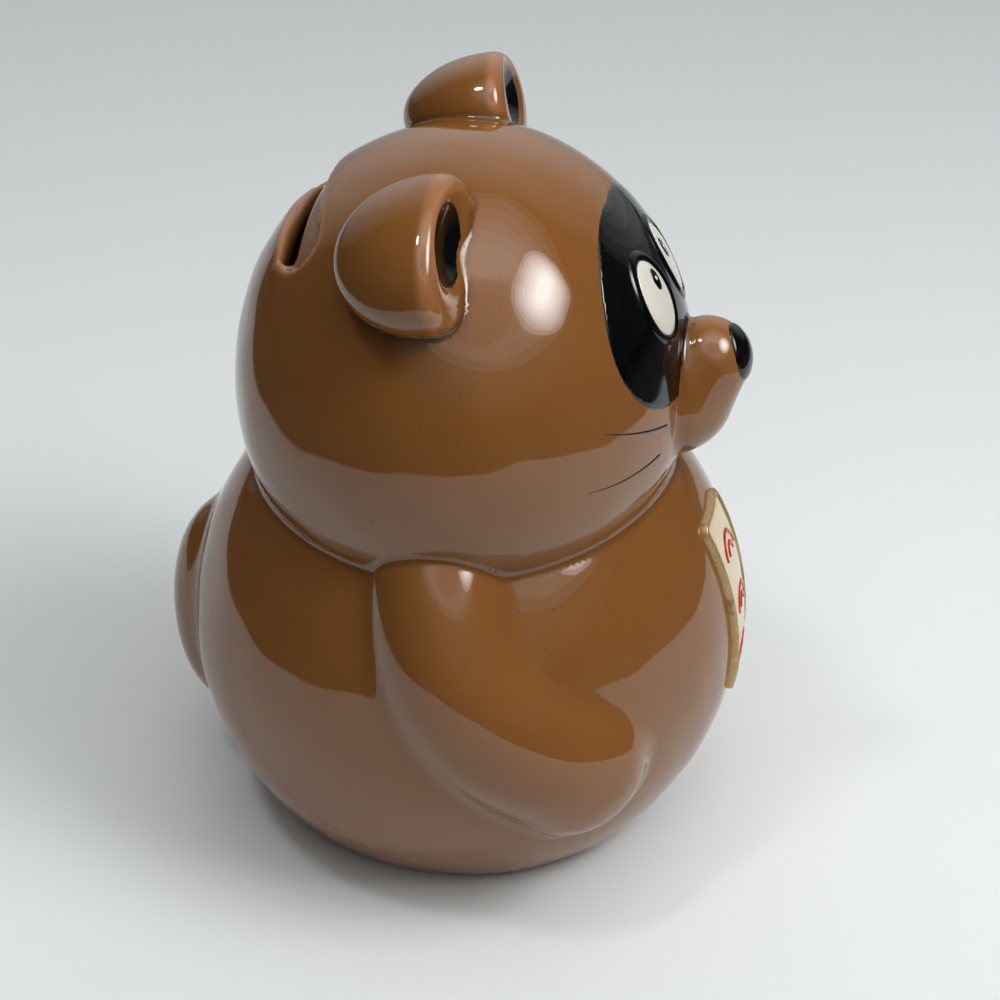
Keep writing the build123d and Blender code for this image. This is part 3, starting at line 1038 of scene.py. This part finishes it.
stopper_low, stopper_high = box_mm("stopper")
stopper_points, stopper_faces = stretch(stopper_field, stopper_low - 1, stopper_high + 1.5, stopper_step)
stopper_points = settle(stopper_points, stopper_field, no_wall, stopper_step)
stopper_normals = unit(gradient(stopper_field, stopper_points))[:, stopper_faces]
pieces["stopper"] = make_object("stopper_rubber", stopper_points, stopper_faces, stopper_normals)
print("stopper", len(stopper_faces), "quads")

# %% [markdown]
# ## Helpers for node trees
# Shader and geometry trees are built by the same small helper. It makes a node, sets what is given as a
# value and links what is given as a socket.

# %% A helper that makes and links nodes


def socket_of(sockets, key):
    for socket in sockets:
        if socket.identifier == key:
            return socket
    return next(socket for socket in sockets if socket.name == key)


def node(tree, kind, inputs=None, **settings):
    made = tree.nodes.new(kind)
    for key, value in settings.items():
        setattr(made, key, value)
    for key, value in (inputs or {}).items():
        socket = socket_of(made.inputs, key)
        if isinstance(value, bpy.types.NodeSocket):
            tree.links.new(value, socket)
        else:
            socket.default_value = value
    return made


def ramp(tree, value, low, high, to_low=0.0, to_high=1.0):
    inputs = {"Value": value, "From Min": low, "From Max": high, "To Min": to_low, "To Max": to_high}
    return node(tree, "ShaderNodeMapRange", inputs, clamp=True).outputs["Result"]


def maths(tree, operation, a, b):
    return node(tree, "ShaderNodeMath", {"Value": a, "Value_001": b}, operation=operation).outputs[0]


def noise(tree, place, scale, detail, **more):
    inputs = {"Vector": place, "Scale": scale, "Detail": detail, **more}
    return node(tree, "ShaderNodeTexNoise", inputs).outputs["Fac"]


def shader_group(name, inputs, outputs):
    tree = bpy.data.node_groups.new(name, "ShaderNodeTree")
    for label, value in inputs.items():
        tree.interface.new_socket(label, in_out="INPUT", socket_type="NodeSocketFloat").default_value = value
    for label in outputs:
        tree.interface.new_socket(label, in_out="OUTPUT", socket_type="NodeSocketFloat")
    start = tree.nodes.new("NodeGroupInput").outputs
    end = tree.nodes.new("NodeGroupOutput").inputs
    place = node(tree, "ShaderNodeTexCoord").outputs["Object"]
    return tree, start, end, place


print("helpers ready for", bpy.app.version_string)

# %% [markdown]
# ## Effects that several finishes share
# Fired glaze drifts in tone, carries specks of iron and tiny pinholes, ripples a little and picks up finger
# marks. Each effect is one node group that puts out a mask, so that every finish uses it at its own
# strength.

# %% Shared shader groups
SPECK_CORE = 0.6
PIT_SIZE = 0.16
PIT_DEPTH = 1.5
MARKS_RANGE = (0.48, 0.78)
BRUSH_RANGE = (0.45, 0.75)
drift_tree, given, result, place = shader_group("tone_drift", {"Scale": 40.0, "Contrast": 0.2}, ["Mask"])
drift_low = maths(drift_tree, "SUBTRACT", 0.5, given["Contrast"])
drift_high = maths(drift_tree, "ADD", 0.5, given["Contrast"])
drift_mask = ramp(drift_tree, noise(drift_tree, place, given["Scale"], 3.0), drift_low, drift_high)
drift_tree.links.new(drift_mask, result["Mask"])

SPECK_INPUTS = {"Scale": 900.0, "Size": 0.2, "Rarity": 0.8}
specks_tree, given, result, place = shader_group("specks", SPECK_INPUTS, ["Mask"])
speck_cells = node(specks_tree, "ShaderNodeTexVoronoi", {"Vector": place, "Scale": given["Scale"]})
speck_pick = node(specks_tree, "ShaderNodeSeparateColor", {"Color": speck_cells.outputs["Color"]})
speck_chosen = maths(specks_tree, "GREATER_THAN", speck_pick.outputs["Red"], given["Rarity"])
speck_core = maths(specks_tree, "MULTIPLY", given["Size"], SPECK_CORE)
speck_shape = ramp(specks_tree, speck_cells.outputs["Distance"], given["Size"], speck_core)
specks_tree.links.new(maths(specks_tree, "MULTIPLY", speck_shape, speck_chosen), result["Mask"])

FIRED_INPUTS = {"Ripple Scale": 250.0, "Pit Scale": 420.0, "Pit Rarity": 0.9}
fired_tree, given, result, place = shader_group("fired_surface", FIRED_INPUTS, ["Height", "Pits"])
pit_inputs = {"Scale": given["Pit Scale"], "Size": PIT_SIZE, "Rarity": given["Pit Rarity"]}
pits = node(fired_tree, "ShaderNodeGroup", pit_inputs, node_tree=specks_tree).outputs["Mask"]
fired_ripple = noise(fired_tree, place, given["Ripple Scale"], 1.0)
fired_height = maths(fired_tree, "SUBTRACT", fired_ripple, maths(fired_tree, "MULTIPLY", pits, PIT_DEPTH))
fired_tree.links.new(fired_height, result["Height"])
fired_tree.links.new(pits, result["Pits"])

marks_tree, given, result, place = shader_group("finger_marks", {"Scale": 60.0}, ["Mask"])
marks_noise = noise(marks_tree, place, given["Scale"], 6.0, Roughness=0.7, Distortion=0.6)
marks_tree.links.new(ramp(marks_tree, marks_noise, *MARKS_RANGE), result["Mask"])

brush_tree, given, result, place = shader_group("brush_streaks", {"Along": 90.0, "Across": 700.0}, ["Mask"])
brush_inputs = {"X": given["Across"], "Y": given["Across"], "Z": given["Along"]}
brush_size = node(brush_tree, "ShaderNodeCombineXYZ", brush_inputs).outputs[0]
brush_inputs = {"Vector": place, "Vector_001": brush_size}
brush_place = node(brush_tree, "ShaderNodeVectorMath", brush_inputs, operation="MULTIPLY").outputs[0]
brush_mask = ramp(brush_tree, noise(brush_tree, brush_place, 1.0, 3.0), *BRUSH_RANGE)
brush_tree.links.new(brush_mask, result["Mask"])
SHARED = {tree.name: tree for tree in (drift_tree, specks_tree, fired_tree, marks_tree, brush_tree)}
print("shared effects:", sorted(SHARED))

# %% [markdown]
# ## One kit for all finishes
# Every finish is one Principled shader whose colour is built up in layers, as paint is: each layer lays a
# tint over what is below it, where a mask says. Roughness and relief come from the same shared effects.

# %% A small kit for finishes


class Finish:
    def __init__(self, name, colour, roughness, ior):
        self.material = bpy.data.materials.new(name)
        self.material.use_nodes = True
        self.tree = self.material.node_tree
        self.inputs = self.tree.nodes["Principled BSDF"].inputs
        self.inputs["Base Color"].default_value = (*colour, 1)
        self.inputs["Roughness"].default_value = roughness
        self.inputs["IOR"].default_value = ior
        self.colour = (*colour, 1)

    def feed(self, name, socket):
        self.tree.links.new(socket, self.inputs[name])

    def effect(self, name, output="Mask", **values):
        inputs = {key.replace("_", " "): value for key, value in values.items()}
        return node(self.tree, "ShaderNodeGroup", inputs, node_tree=SHARED[name]).outputs[output]

    def stored(self, name):
        return node(self.tree, "ShaderNodeAttribute", attribute_name=name).outputs["Fac"]

    def tint_where(self, mask, share, colour):
        amount = maths(self.tree, "MULTIPLY", mask, share)
        inputs = {"Factor_Float": amount, "A_Color": self.colour, "B_Color": (*colour, 1)}
        mix = node(self.tree, "ShaderNodeMix", inputs, data_type="RGBA")
        self.colour = socket_of(mix.outputs, "Result_Color")
        self.feed("Base Color", self.colour)

    def tint(self, effect, share, colour, **values):
        self.tint_where(self.effect(effect, **values), share, colour)

    def roughen(self, effect, low, high, **values):
        self.feed("Roughness", ramp(self.tree, self.effect(effect, **values), 0.0, 1.0, low, high))

    def emboss(self, strength, distance, **values):
        height = self.effect("fired_surface", "Height", **values)
        inputs = {"Strength": strength, "Distance": distance, "Height": height}
        self.feed("Normal", node(self.tree, "ShaderNodeBump", inputs).outputs["Normal"])


print("a finish can draw on", len(SHARED), "shared effects")

# %% [markdown]
# ## Brown glaze
# The body colour is an opaque brown under a clear, very glossy glaze. It is lighter and warmer over an edge,
# partly where the glaze runs thin and partly as a painted highlight, and darker in a crease, partly where the
# glaze pools and partly as painted shade, which the values stored on the mesh say.
# Specks, pinholes and finger marks break it up.

# %% Brown glaze
BROWN_SURFACE = {"Ripple_Scale": 170.0, "Pit_Scale": 520.0, "Pit_Rarity": 0.993}
brown = Finish("brown_glaze", (0.216, 0.084, 0.019), 0.04, 1.6)
brown.tint("tone_drift", 0.55, (0.238, 0.098, 0.027), Scale=22.0, Contrast=0.22)
brown.tint("tone_drift", 0.35, (0.190, 0.070, 0.016), Scale=90.0, Contrast=0.2)
# Painted shade in creases, together with the darker glaze that pools there.
brown.tint_where(brown.stored("pool_and_shade"), 0.5, (0.085, 0.030, 0.009))
# Painted highlight on edges and the slot's lip, together with the lighter glaze that runs thin there.
brown.tint_where(brown.stored("thin_and_highlight"), 0.75, (0.40, 0.170, 0.070))
brown.tint("specks", 0.55, (0.10, 0.036, 0.010), Scale=700.0, Size=0.17, Rarity=0.86)
brown.tint("specks", 0.6, (0.42, 0.25, 0.12), Scale=1100.0, Size=0.15, Rarity=0.94)
brown.tint_where(brown.effect("fired_surface", "Pits", **BROWN_SURFACE), 0.6, (0.05, 0.018, 0.006))
brown.roughen("finger_marks", 0.03, 0.085, Scale=45.0)
brown.emboss(0.12, 0.0003, **BROWN_SURFACE)
print("finish:", brown.material.name)

# %% [markdown]
# ## Black, white, cream and red
# These colours were brushed on by hand, so they are streaked along the brush and thin at places. They share
# the effects of the brown glaze at other strengths.

# %% Brushed colours
black = Finish("black_glaze", (0.0012, 0.0013, 0.0020), 0.04, 1.52)
black.tint("brush_streaks", 0.4, (0.006, 0.0045, 0.0045), Along=70.0, Across=420.0)
black.tint("specks", 0.3, (0.06, 0.06, 0.065), Scale=800.0, Size=0.13, Rarity=0.97)
black.roughen("finger_marks", 0.045, 0.12, Scale=80.0)
black.emboss(0.16, 0.0003, Ripple_Scale=260.0, Pit_Scale=300.0, Pit_Rarity=0.97)

white = Finish("white_enamel", (0.72, 0.70, 0.62), 0.10, 1.52)
white.tint("tone_drift", 0.5, (0.66, 0.62, 0.52), Scale=160.0, Contrast=0.25)
white.tint("specks", 0.5, (0.35, 0.30, 0.24), Scale=1500.0, Size=0.12, Rarity=0.96)
white.roughen("finger_marks", 0.07, 0.16, Scale=120.0)
white.emboss(0.12, 0.0002, Ripple_Scale=420.0, Pit_Scale=500.0, Pit_Rarity=0.98)

cream = Finish("cream_enamel", (0.72, 0.60, 0.40), 0.12, 1.52)
cream.tint("brush_streaks", 0.55, (0.62, 0.47, 0.27), Along=60.0, Across=380.0)
cream.tint("specks", 0.6, (0.30, 0.17, 0.08), Scale=900.0, Size=0.15, Rarity=0.93)
cream.roughen("finger_marks", 0.08, 0.2, Scale=110.0)
cream.emboss(0.2, 0.0002, Ripple_Scale=320.0, Pit_Scale=380.0, Pit_Rarity=0.97)

red = Finish("red_enamel", (0.46, 0.018, 0.016), 0.12, 1.52)
red.tint("brush_streaks", 0.6, (0.28, 0.008, 0.010), Along=120.0, Across=600.0)
red.tint("tone_drift", 0.4, (0.56, 0.05, 0.03), Scale=300.0, Contrast=0.2)
red.roughen("finger_marks", 0.08, 0.2, Scale=140.0)
red.emboss(0.2, 0.0002, Ripple_Scale=500.0, Pit_Scale=500.0, Pit_Rarity=0.97)
print("finishes:", [finish.material.name for finish in (black, white, cream, red)])

# %% [markdown]
# ## Gold lustre, bare clay and rubber
# The plaque's frame is painted with gold lustre that has rubbed through to brown glaze here and there. The
# casting's inside and its foot are bare red clay, gritty and matt. The stopper is matt moulded rubber.

# %% Gold, clay and rubber
GOLD_WEAR = (0.72, 0.95)
gold = Finish("gilding", (0.44, 0.30, 0.135), 0.35, 1.5)
gold_worn = gold.effect("tone_drift", Scale=240.0, Contrast=0.16)
gold.tint("brush_streaks", 0.5, (0.36, 0.23, 0.095), Along=150.0, Across=500.0)
gold.tint_where(ramp(gold.tree, gold_worn, *GOLD_WEAR), 0.75, (0.24, 0.10, 0.03))
gold.feed("Metallic", ramp(gold.tree, gold_worn, *GOLD_WEAR, 0.4, 0.1))
gold.roughen("finger_marks", 0.25, 0.45, Scale=130.0)
gold.emboss(0.3, 0.0002, Ripple_Scale=450.0, Pit_Scale=420.0, Pit_Rarity=0.95)

clay = Finish("bare_clay", (0.40, 0.155, 0.075), 0.85, 1.45)
clay.tint("tone_drift", 0.6, (0.50, 0.22, 0.12), Scale=60.0, Contrast=0.2)
clay.tint("specks", 0.5, (0.24, 0.085, 0.04), Scale=1000.0, Size=0.28, Rarity=0.7)
clay.tint("specks", 0.6, (0.66, 0.48, 0.34), Scale=1500.0, Size=0.2, Rarity=0.9)
clay.roughen("tone_drift", 0.75, 0.95, Scale=300.0, Contrast=0.2)
clay.emboss(0.5, 0.0003, Ripple_Scale=1400.0, Pit_Scale=900.0, Pit_Rarity=0.8)

rubber = Finish("soft_plug", (0.045, 0.043, 0.042), 0.55, 1.5)
rubber.tint("tone_drift", 0.6, (0.062, 0.058, 0.055), Scale=70.0, Contrast=0.25)
rubber.tint("finger_marks", 0.35, (0.13, 0.115, 0.10), Scale=50.0)
rubber.roughen("tone_drift", 0.45, 0.68, Scale=140.0, Contrast=0.2)
rubber.emboss(0.35, 0.0002, Ripple_Scale=1800.0, Pit_Scale=700.0, Pit_Rarity=0.9)
print("finishes:", [finish.material.name for finish in (gold, clay, rubber)])

# %% [markdown]
# ## Strokes that follow the surface
# The whiskers and the plaque's arches are lines drawn with a fine brush. A line that follows a curved
# surface is a job for Geometry Nodes: the curve is cast onto the surface by rays from the front, sunk until
# only its crown shows, and given a round section that tapers. The casting part is a node group that both
# trees use.

# %% A node group that casts curves onto a surface
STROKE_SIDES = 16


def geometry_tree(name, sockets):
    tree = bpy.data.node_groups.new(name, "GeometryNodeTree")
    for label, (kind, value) in sockets.items():
        socket = tree.interface.new_socket(label, in_out="INPUT", socket_type="NodeSocket" + kind)
        if value is not None:
            socket.default_value = value
    tree.interface.new_socket("Geometry", in_out="OUTPUT", socket_type="NodeSocketGeometry")
    start = tree.nodes.new("NodeGroupInput").outputs
    end = tree.nodes.new("NodeGroupOutput").inputs["Geometry"]
    return tree, start, end


laid_tree, given, end = geometry_tree("laid_stroke", {
    "Curve": ("Geometry", None), "Surface": ("Object", None), "Points": ("Int", 40),
    "Radius": ("Float", 0.001), "Sunk": ("Float", 0.0005), "Taper": ("Float", 0.0)})
laid_surface = node(laid_tree, "GeometryNodeObjectInfo", {"Object": given["Surface"]})
laid_even = node(laid_tree, "GeometryNodeResampleCurve", {"Curve": given["Curve"], "Count": given["Points"]})
laid_ray = node(laid_tree, "GeometryNodeRaycast", {
    "Target Geometry": laid_surface.outputs["Geometry"], "Ray Direction": (0.0, 1.0, 0.0), "Ray Length": 1.0})
laid_depth = maths(laid_tree, "MULTIPLY", given["Sunk"], -1.0)
laid_drop = node(laid_tree, "ShaderNodeVectorMath", {
    "Vector": laid_ray.outputs["Hit Normal"], "Scale": laid_depth}, operation="SCALE")
laid_put = node(laid_tree, "GeometryNodeSetPosition", {
    "Geometry": laid_even.outputs["Curve"], "Position": laid_ray.outputs["Hit Position"],
    "Offset": laid_drop.outputs["Vector"]})
laid_along = node(laid_tree, "GeometryNodeSplineParameter").outputs["Factor"]
laid_thin = maths(laid_tree, "SUBTRACT", 1.0, maths(laid_tree, "MULTIPLY", laid_along, given["Taper"]))
laid_circle = node(laid_tree, "GeometryNodeCurvePrimitiveCircle", {
    "Resolution": STROKE_SIDES, "Radius": given["Radius"]})
laid_tube = node(laid_tree, "GeometryNodeCurveToMesh", {
    "Curve": laid_put.outputs["Geometry"], "Profile Curve": laid_circle.outputs["Curve"],
    "Scale": laid_thin, "Fill Caps": True})
laid_soft = node(laid_tree, "GeometryNodeSetShadeSmooth", {"Geometry": laid_tube.outputs["Mesh"]})
laid_tree.links.new(laid_soft.outputs["Geometry"], end)
print("casting group:", len(laid_tree.nodes), "nodes")

# %% [markdown]
# ## From tree to plain mesh
# A tree runs as a modifier on an empty mesh. Its inputs are set by their identifiers, because names may
# repeat, and the result is copied to a plain mesh. Instances would be lost in that copy, so every tree ends
# by making them real and giving them their finish.

# %% Run a tree
STROKE_POINTS = 48


def lay_and_finish(tree, given, end, curve, taper):
    laid = node(tree, "GeometryNodeGroup", {
        "Curve": curve, "Surface": given["Surface"], "Points": STROKE_POINTS,
        "Radius": given["Stroke radius"], "Sunk": given["Sunk"], "Taper": taper}, node_tree=laid_tree)
    real = node(tree, "GeometryNodeRealizeInstances", {"Geometry": laid.outputs["Geometry"]})
    done = node(tree, "GeometryNodeSetMaterial", {
        "Geometry": real.outputs["Geometry"], "Material": given["Finish"]})
    tree.links.new(done.outputs["Geometry"], end)


def grow(name, tree, values):
    host = add_object(name + "_host", bpy.data.meshes.new(name + "_host"))
    modifier = host.modifiers.new("grow", "NODES")
    modifier.node_group = tree
    for item in tree.interface.items_tree:
        if item.in_out == "INPUT" and item.name in values:
            modifier[item.identifier] = values[item.name]
    depsgraph = bpy.context.evaluated_depsgraph_get()
    mesh = bpy.data.meshes.new_from_object(host.evaluated_get(depsgraph))
    mesh.name = name
    bpy.data.objects.remove(host)
    print(name, len(mesh.polygons), "faces")
    return add_object(name, mesh)


print("points on each stroke:", STROKE_POINTS)

# %% [markdown]
# ## Whiskers
# Two whiskers lie on each cheek, thicker at the muzzle and finer at the tip. Their lines are plain curves
# drawn in front of the face.

# %% Draw the whiskers
WHISKERS = (
    ((16.4, 0.6), (25.0, 3.2), (32.4, 7.0)),
    ((18.6, -4.5), (27.5, -4.9), (35.4, -3.7)),
)
WHISKER_R = 0.42
WHISKER_SUNK = 0.26
WHISKER_TAPER = 0.36
whisker_lines = bpy.data.curves.new("whisker_lines", "CURVE")
whisker_lines.dimensions = "3D"
for stroke in WHISKERS:
    for _, sign in SIDES:
        spline = whisker_lines.splines.new("NURBS")
        spline.points.add(len(stroke) - 1)
        for point, (out, up) in zip(spline.points, stroke):
            point.co = (sign * out * MM, front_y * MM, (HEAD_AT[2] + up) * MM, 1)
        spline.order_u = 3
        spline.use_endpoint_u = True
whisker_drawing = add_object("whisker_lines", whisker_lines)

whisker_tree, given, end = geometry_tree("whiskers", {
    "Lines": ("Object", None), "Surface": ("Object", None), "Stroke radius": ("Float", 0.0005),
    "Sunk": ("Float", 0.0002), "Taper": ("Float", 0.0), "Finish": ("Material", None)})
whisker_curves = node(whisker_tree, "GeometryNodeObjectInfo", {"Object": given["Lines"]})
lay_and_finish(whisker_tree, given, end, whisker_curves.outputs["Geometry"], given["Taper"])
pieces["whiskers"] = grow("whisker_strokes", whisker_tree, {
    "Lines": whisker_drawing, "Surface": pieces["head_shell"], "Stroke radius": WHISKER_R * MM,
    "Sunk": WHISKER_SUNK * MM, "Taper": WHISKER_TAPER, "Finish": black.material})
bpy.data.objects.remove(whisker_drawing)

# %% [markdown]
# ## Arches on the plaque
# The plaque carries rows of plain arches, one within another. One pair is made from two arcs, a line of
# points sets it in rows, and the same casting group lays every row on the cream field.

# %% Set the arches in rows
ARCH_OUTER = 4.6
ARCH_STROKE = 1.1
ARCH_INNER = ARCH_OUTER - 2.5 * ARCH_STROKE
ARCH_ROWS = 3
ARCH_R = 0.72
ARCH_SUNK = 0.44
ARCH_POINTS = 32
field_high = PLAQUE_TOP - PLAQUE_BOTTOM - 2 * BORDER_WIDTH
row_pitch = field_high / ARCH_ROWS
first_row = plaque_mid - field_high / 2 + row_pitch / 2 - ARCH_OUTER / 2

arch_tree, given, end = geometry_tree("arch_rows", {
    "Surface": ("Object", None), "Rows": ("Int", 3), "Pitch": ("Float", 0.01), "First row": ("Float", 0.03),
    "Front": ("Float", -0.1), "Outer radius": ("Float", 0.004), "Inner radius": ("Float", 0.0015),
    "Stroke radius": ("Float", 0.0007), "Sunk": ("Float", 0.0004), "Finish": ("Material", None)})
arch_pair = node(arch_tree, "GeometryNodeJoinGeometry")
for radius in ("Outer radius", "Inner radius"):
    arc = node(arch_tree, "GeometryNodeCurveArc", {
        "Resolution": ARCH_POINTS, "Radius": given[radius], "Start Angle": 0.0, "Sweep Angle": math.pi})
    arch_tree.links.new(arc.outputs["Curve"], arch_pair.inputs["Geometry"])
arch_upright = node(arch_tree, "GeometryNodeTransform", {
    "Geometry": arch_pair.outputs["Geometry"], "Rotation": (math.pi / 2, 0.0, 0.0)})
arch_from = node(arch_tree, "ShaderNodeCombineXYZ", {"Y": given["Front"], "Z": given["First row"]})
arch_step = node(arch_tree, "ShaderNodeCombineXYZ", {"Z": given["Pitch"]})
arch_points = node(arch_tree, "GeometryNodeMeshLine", {
    "Count": given["Rows"], "Start Location": arch_from.outputs[0], "Offset": arch_step.outputs[0]})
arch_set = node(arch_tree, "GeometryNodeInstanceOnPoints", {
    "Points": arch_points.outputs["Mesh"], "Instance": arch_upright.outputs["Geometry"]})
arch_curves = node(arch_tree, "GeometryNodeRealizeInstances", {"Geometry": arch_set.outputs["Instances"]})
lay_and_finish(arch_tree, given, end, arch_curves.outputs["Geometry"], 0.0)
pieces["plaque_ornament"] = grow("plaque_arches", arch_tree, {
    "Surface": pieces["plaque_field"], "Rows": ARCH_ROWS, "Pitch": row_pitch * MM,
    "First row": first_row * MM, "Front": front_y * MM, "Outer radius": (ARCH_OUTER - ARCH_STROKE / 2) * MM,
    "Inner radius": ARCH_INNER * MM, "Stroke radius": ARCH_R * MM, "Sunk": ARCH_SUNK * MM,
    "Finish": red.material})

# %% [markdown]
# ## Put the finishes on and tie the pieces to the frame
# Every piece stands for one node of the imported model, takes that node's material slot and moves with its
# body.

# %% Dress and ride
FINISH_OF = {
    "brown_glaze": [brown, clay],
    "black_glaze": [black],
    "white_enamel": [white],
    "cream_enamel": [cream],
    "gilding": [gold],
    "red_enamel": [red],
    "soft_plug": [rubber],
}
slot_of = {part["node"]: part["material_slot"] for part in frame["record"]["subparts"]}
for node_name, piece in pieces.items():
    piece.data.materials.clear()
    for finish in FINISH_OF[slot_of[node_name]]:
        piece.data.materials.append(finish.material)
    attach(piece, "plug" if node_name == "stopper" else "bank")
    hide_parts(node_name)
print(len(pieces), "pieces dressed")

# %% [markdown]
# ## Floor
# The figure stands on a pale, matt board. Past the board's edge the room is dark, and the glaze mirrors
# that edge as a line across head and belly. The board could be a box on a dark floor. One square whose
# material knows where the board ends is simpler, and its edge can be soft. The board's far part is darkened
# with painted shade, where less light falls.

# %% Lay the floor
FLOOR_REACH = 6.0
BOARD_NEAR = -0.315
BOARD_FRONT = -0.275
BOARD_BACK = 0.27
BOARD_SLANT = 0.6
BOARD_EDGE = 0.02
FAR_SHADE_START = 0.10
FAR_SHADE_FULL = 0.60
floor_corners = [(x * FLOOR_REACH, y * FLOOR_REACH, 0) for x, y in ((-1, -1), (1, -1), (1, 1), (-1, 1))]
floor_mesh = bpy.data.meshes.new("floor")
floor_mesh.from_pydata(floor_corners, [], [(0, 1, 2, 3)])
floor = add_object("floor", floor_mesh)
pale = Finish("pale_board", (0.79, 0.825, 0.83), 0.6, 1.45)
board_place = node(pale.tree, "ShaderNodeTexCoord").outputs["Object"]
board_x, board_y, _ = node(pale.tree, "ShaderNodeSeparateXYZ", {"Vector": board_place}).outputs
board_slanted = maths(pale.tree, "SUBTRACT", board_y, maths(pale.tree, "MULTIPLY", board_x, BOARD_SLANT))
past_near = ramp(pale.tree, board_x, BOARD_NEAR, BOARD_NEAR - BOARD_EDGE)
past_front = ramp(pale.tree, board_y, BOARD_FRONT, BOARD_FRONT - BOARD_EDGE)
past_back = ramp(pale.tree, board_slanted, BOARD_BACK, BOARD_BACK + BOARD_EDGE)
board_past = maths(pale.tree, "MAXIMUM", maths(pale.tree, "MAXIMUM", past_near, past_front), past_back)
pale.tint("tone_drift", 0.25, (0.75, 0.785, 0.79), Scale=9.0, Contrast=0.25)
# Painted shade: the board is darker towards the back, where less light reaches it.
pale.tint_where(ramp(pale.tree, board_x, FAR_SHADE_START, FAR_SHADE_FULL), 1.0, (0.53, 0.555, 0.565))
pale.tint_where(board_past, 1.0, (0.045, 0.046, 0.047))
pale.emboss(0.05, 0.0002, Ripple_Scale=900.0, Pit_Scale=500.0, Pit_Rarity=0.9)
floor.data.materials.append(pale.material)
print("board from", BOARD_NEAR, "m at the near side and", BOARD_FRONT, "m at the front")

# %% [markdown]
# ## Light
# A window lights the figure from the front and its right, a small lamp hangs high behind it, and the rest
# of the room is dim. One area light would mirror in the glaze with a hard edge. So window, ceiling, room
# and wall are each a stack of sheets of light, one within another, whose reflection fades out softly.

# %% Light the scene
LOOK_AT = Vector((-0.006, -0.0099, 0.069))
SHEET_GAP = 0.004


def towards(azimuth, elevation):
    a, e = math.radians(azimuth), math.radians(elevation)
    return Vector((math.sin(a) * math.cos(e), -math.cos(a) * math.cos(e), math.sin(e)))


def lamp(name, azimuth, elevation, distance, wide, high, radiance, roll=0.0):
    data = bpy.data.lights.new(name, "AREA")
    data.shape = "ELLIPSE"
    data.size = wide
    data.size_y = high
    data.energy = radiance * math.pi * (math.pi / 4 * wide * high)
    way = towards(azimuth, elevation)
    made = add_object(name, data)
    made.location = LOOK_AT + way * distance
    turn = way.to_track_quat("Z", "Y").to_matrix() @ Matrix.Rotation(math.radians(roll), 3, "Z")
    made.rotation_euler = turn.to_euler()
    made.visible_camera = False


def soft_lamp(name, azimuth, elevation, distance, wide, high, radiance, sheets, roll=0.0):
    for k in range(sheets):
        size = 1 - k / (sheets + 1)
        near = distance - SHEET_GAP * k
        lamp(f"{name}_{k}", azimuth, elevation, near, wide * size, high * size, radiance / sheets, roll)


soft_lamp("window", 346, 47.5, 0.93, wide=0.64, high=0.46, radiance=15.0, sheets=7, roll=36)
soft_lamp("ceiling", 315, 67, 1.6, wide=2.8, high=2.8, radiance=1.85, sheets=6)
soft_lamp("room", 300, 50, 1.5, wide=3.4, high=2.8, radiance=0.4, sheets=8)
soft_lamp("wall", 100, 28, 1.2, wide=3.6, high=2.2, radiance=0.72, sheets=8)
lamp("high_lamp", 215, 69, 1.1, wide=0.15, high=0.15, radiance=28.0)
world = bpy.data.worlds.new("dim_room")
world.use_nodes = True
world_light = world.node_tree.nodes["Background"].inputs
world_light["Color"].default_value = (0.95, 0.98, 1.0, 1)
world_light["Strength"].default_value = 0.035
bpy.context.scene.world = world
print(len(bpy.data.lights), "sheets of light")

# %% [markdown]
# ## Camera
# The camera looks down on the figure's right side from about half a metre away. Its lens is worked out from
# a focal length in pixels, which was fitted so that the forms fall where the photograph shows them.

# %% Set the camera
CAMERA_AZIMUTH = 279.5
CAMERA_ELEVATION = 32.0
CAMERA_DISTANCE = 0.480
FOCAL_PIXELS = 2480
FRAME_PIXELS = 1000
SENSOR_WIDTH = 36.0
camera_data = bpy.data.cameras.new("camera")
camera_data.sensor_width = SENSOR_WIDTH
camera_data.lens = FOCAL_PIXELS / FRAME_PIXELS * SENSOR_WIDTH
camera_data.clip_start = 0.01
camera = add_object("camera", camera_data)
camera_way = towards(CAMERA_AZIMUTH, CAMERA_ELEVATION)
camera.location = LOOK_AT + camera_way * CAMERA_DISTANCE
camera.rotation_euler = camera_way.to_track_quat("Z", "Y").to_euler()
bpy.context.scene.camera = camera
bpy.context.scene.view_settings.view_transform = "Standard"
print("lens", round(camera_data.lens, 1), "mm")
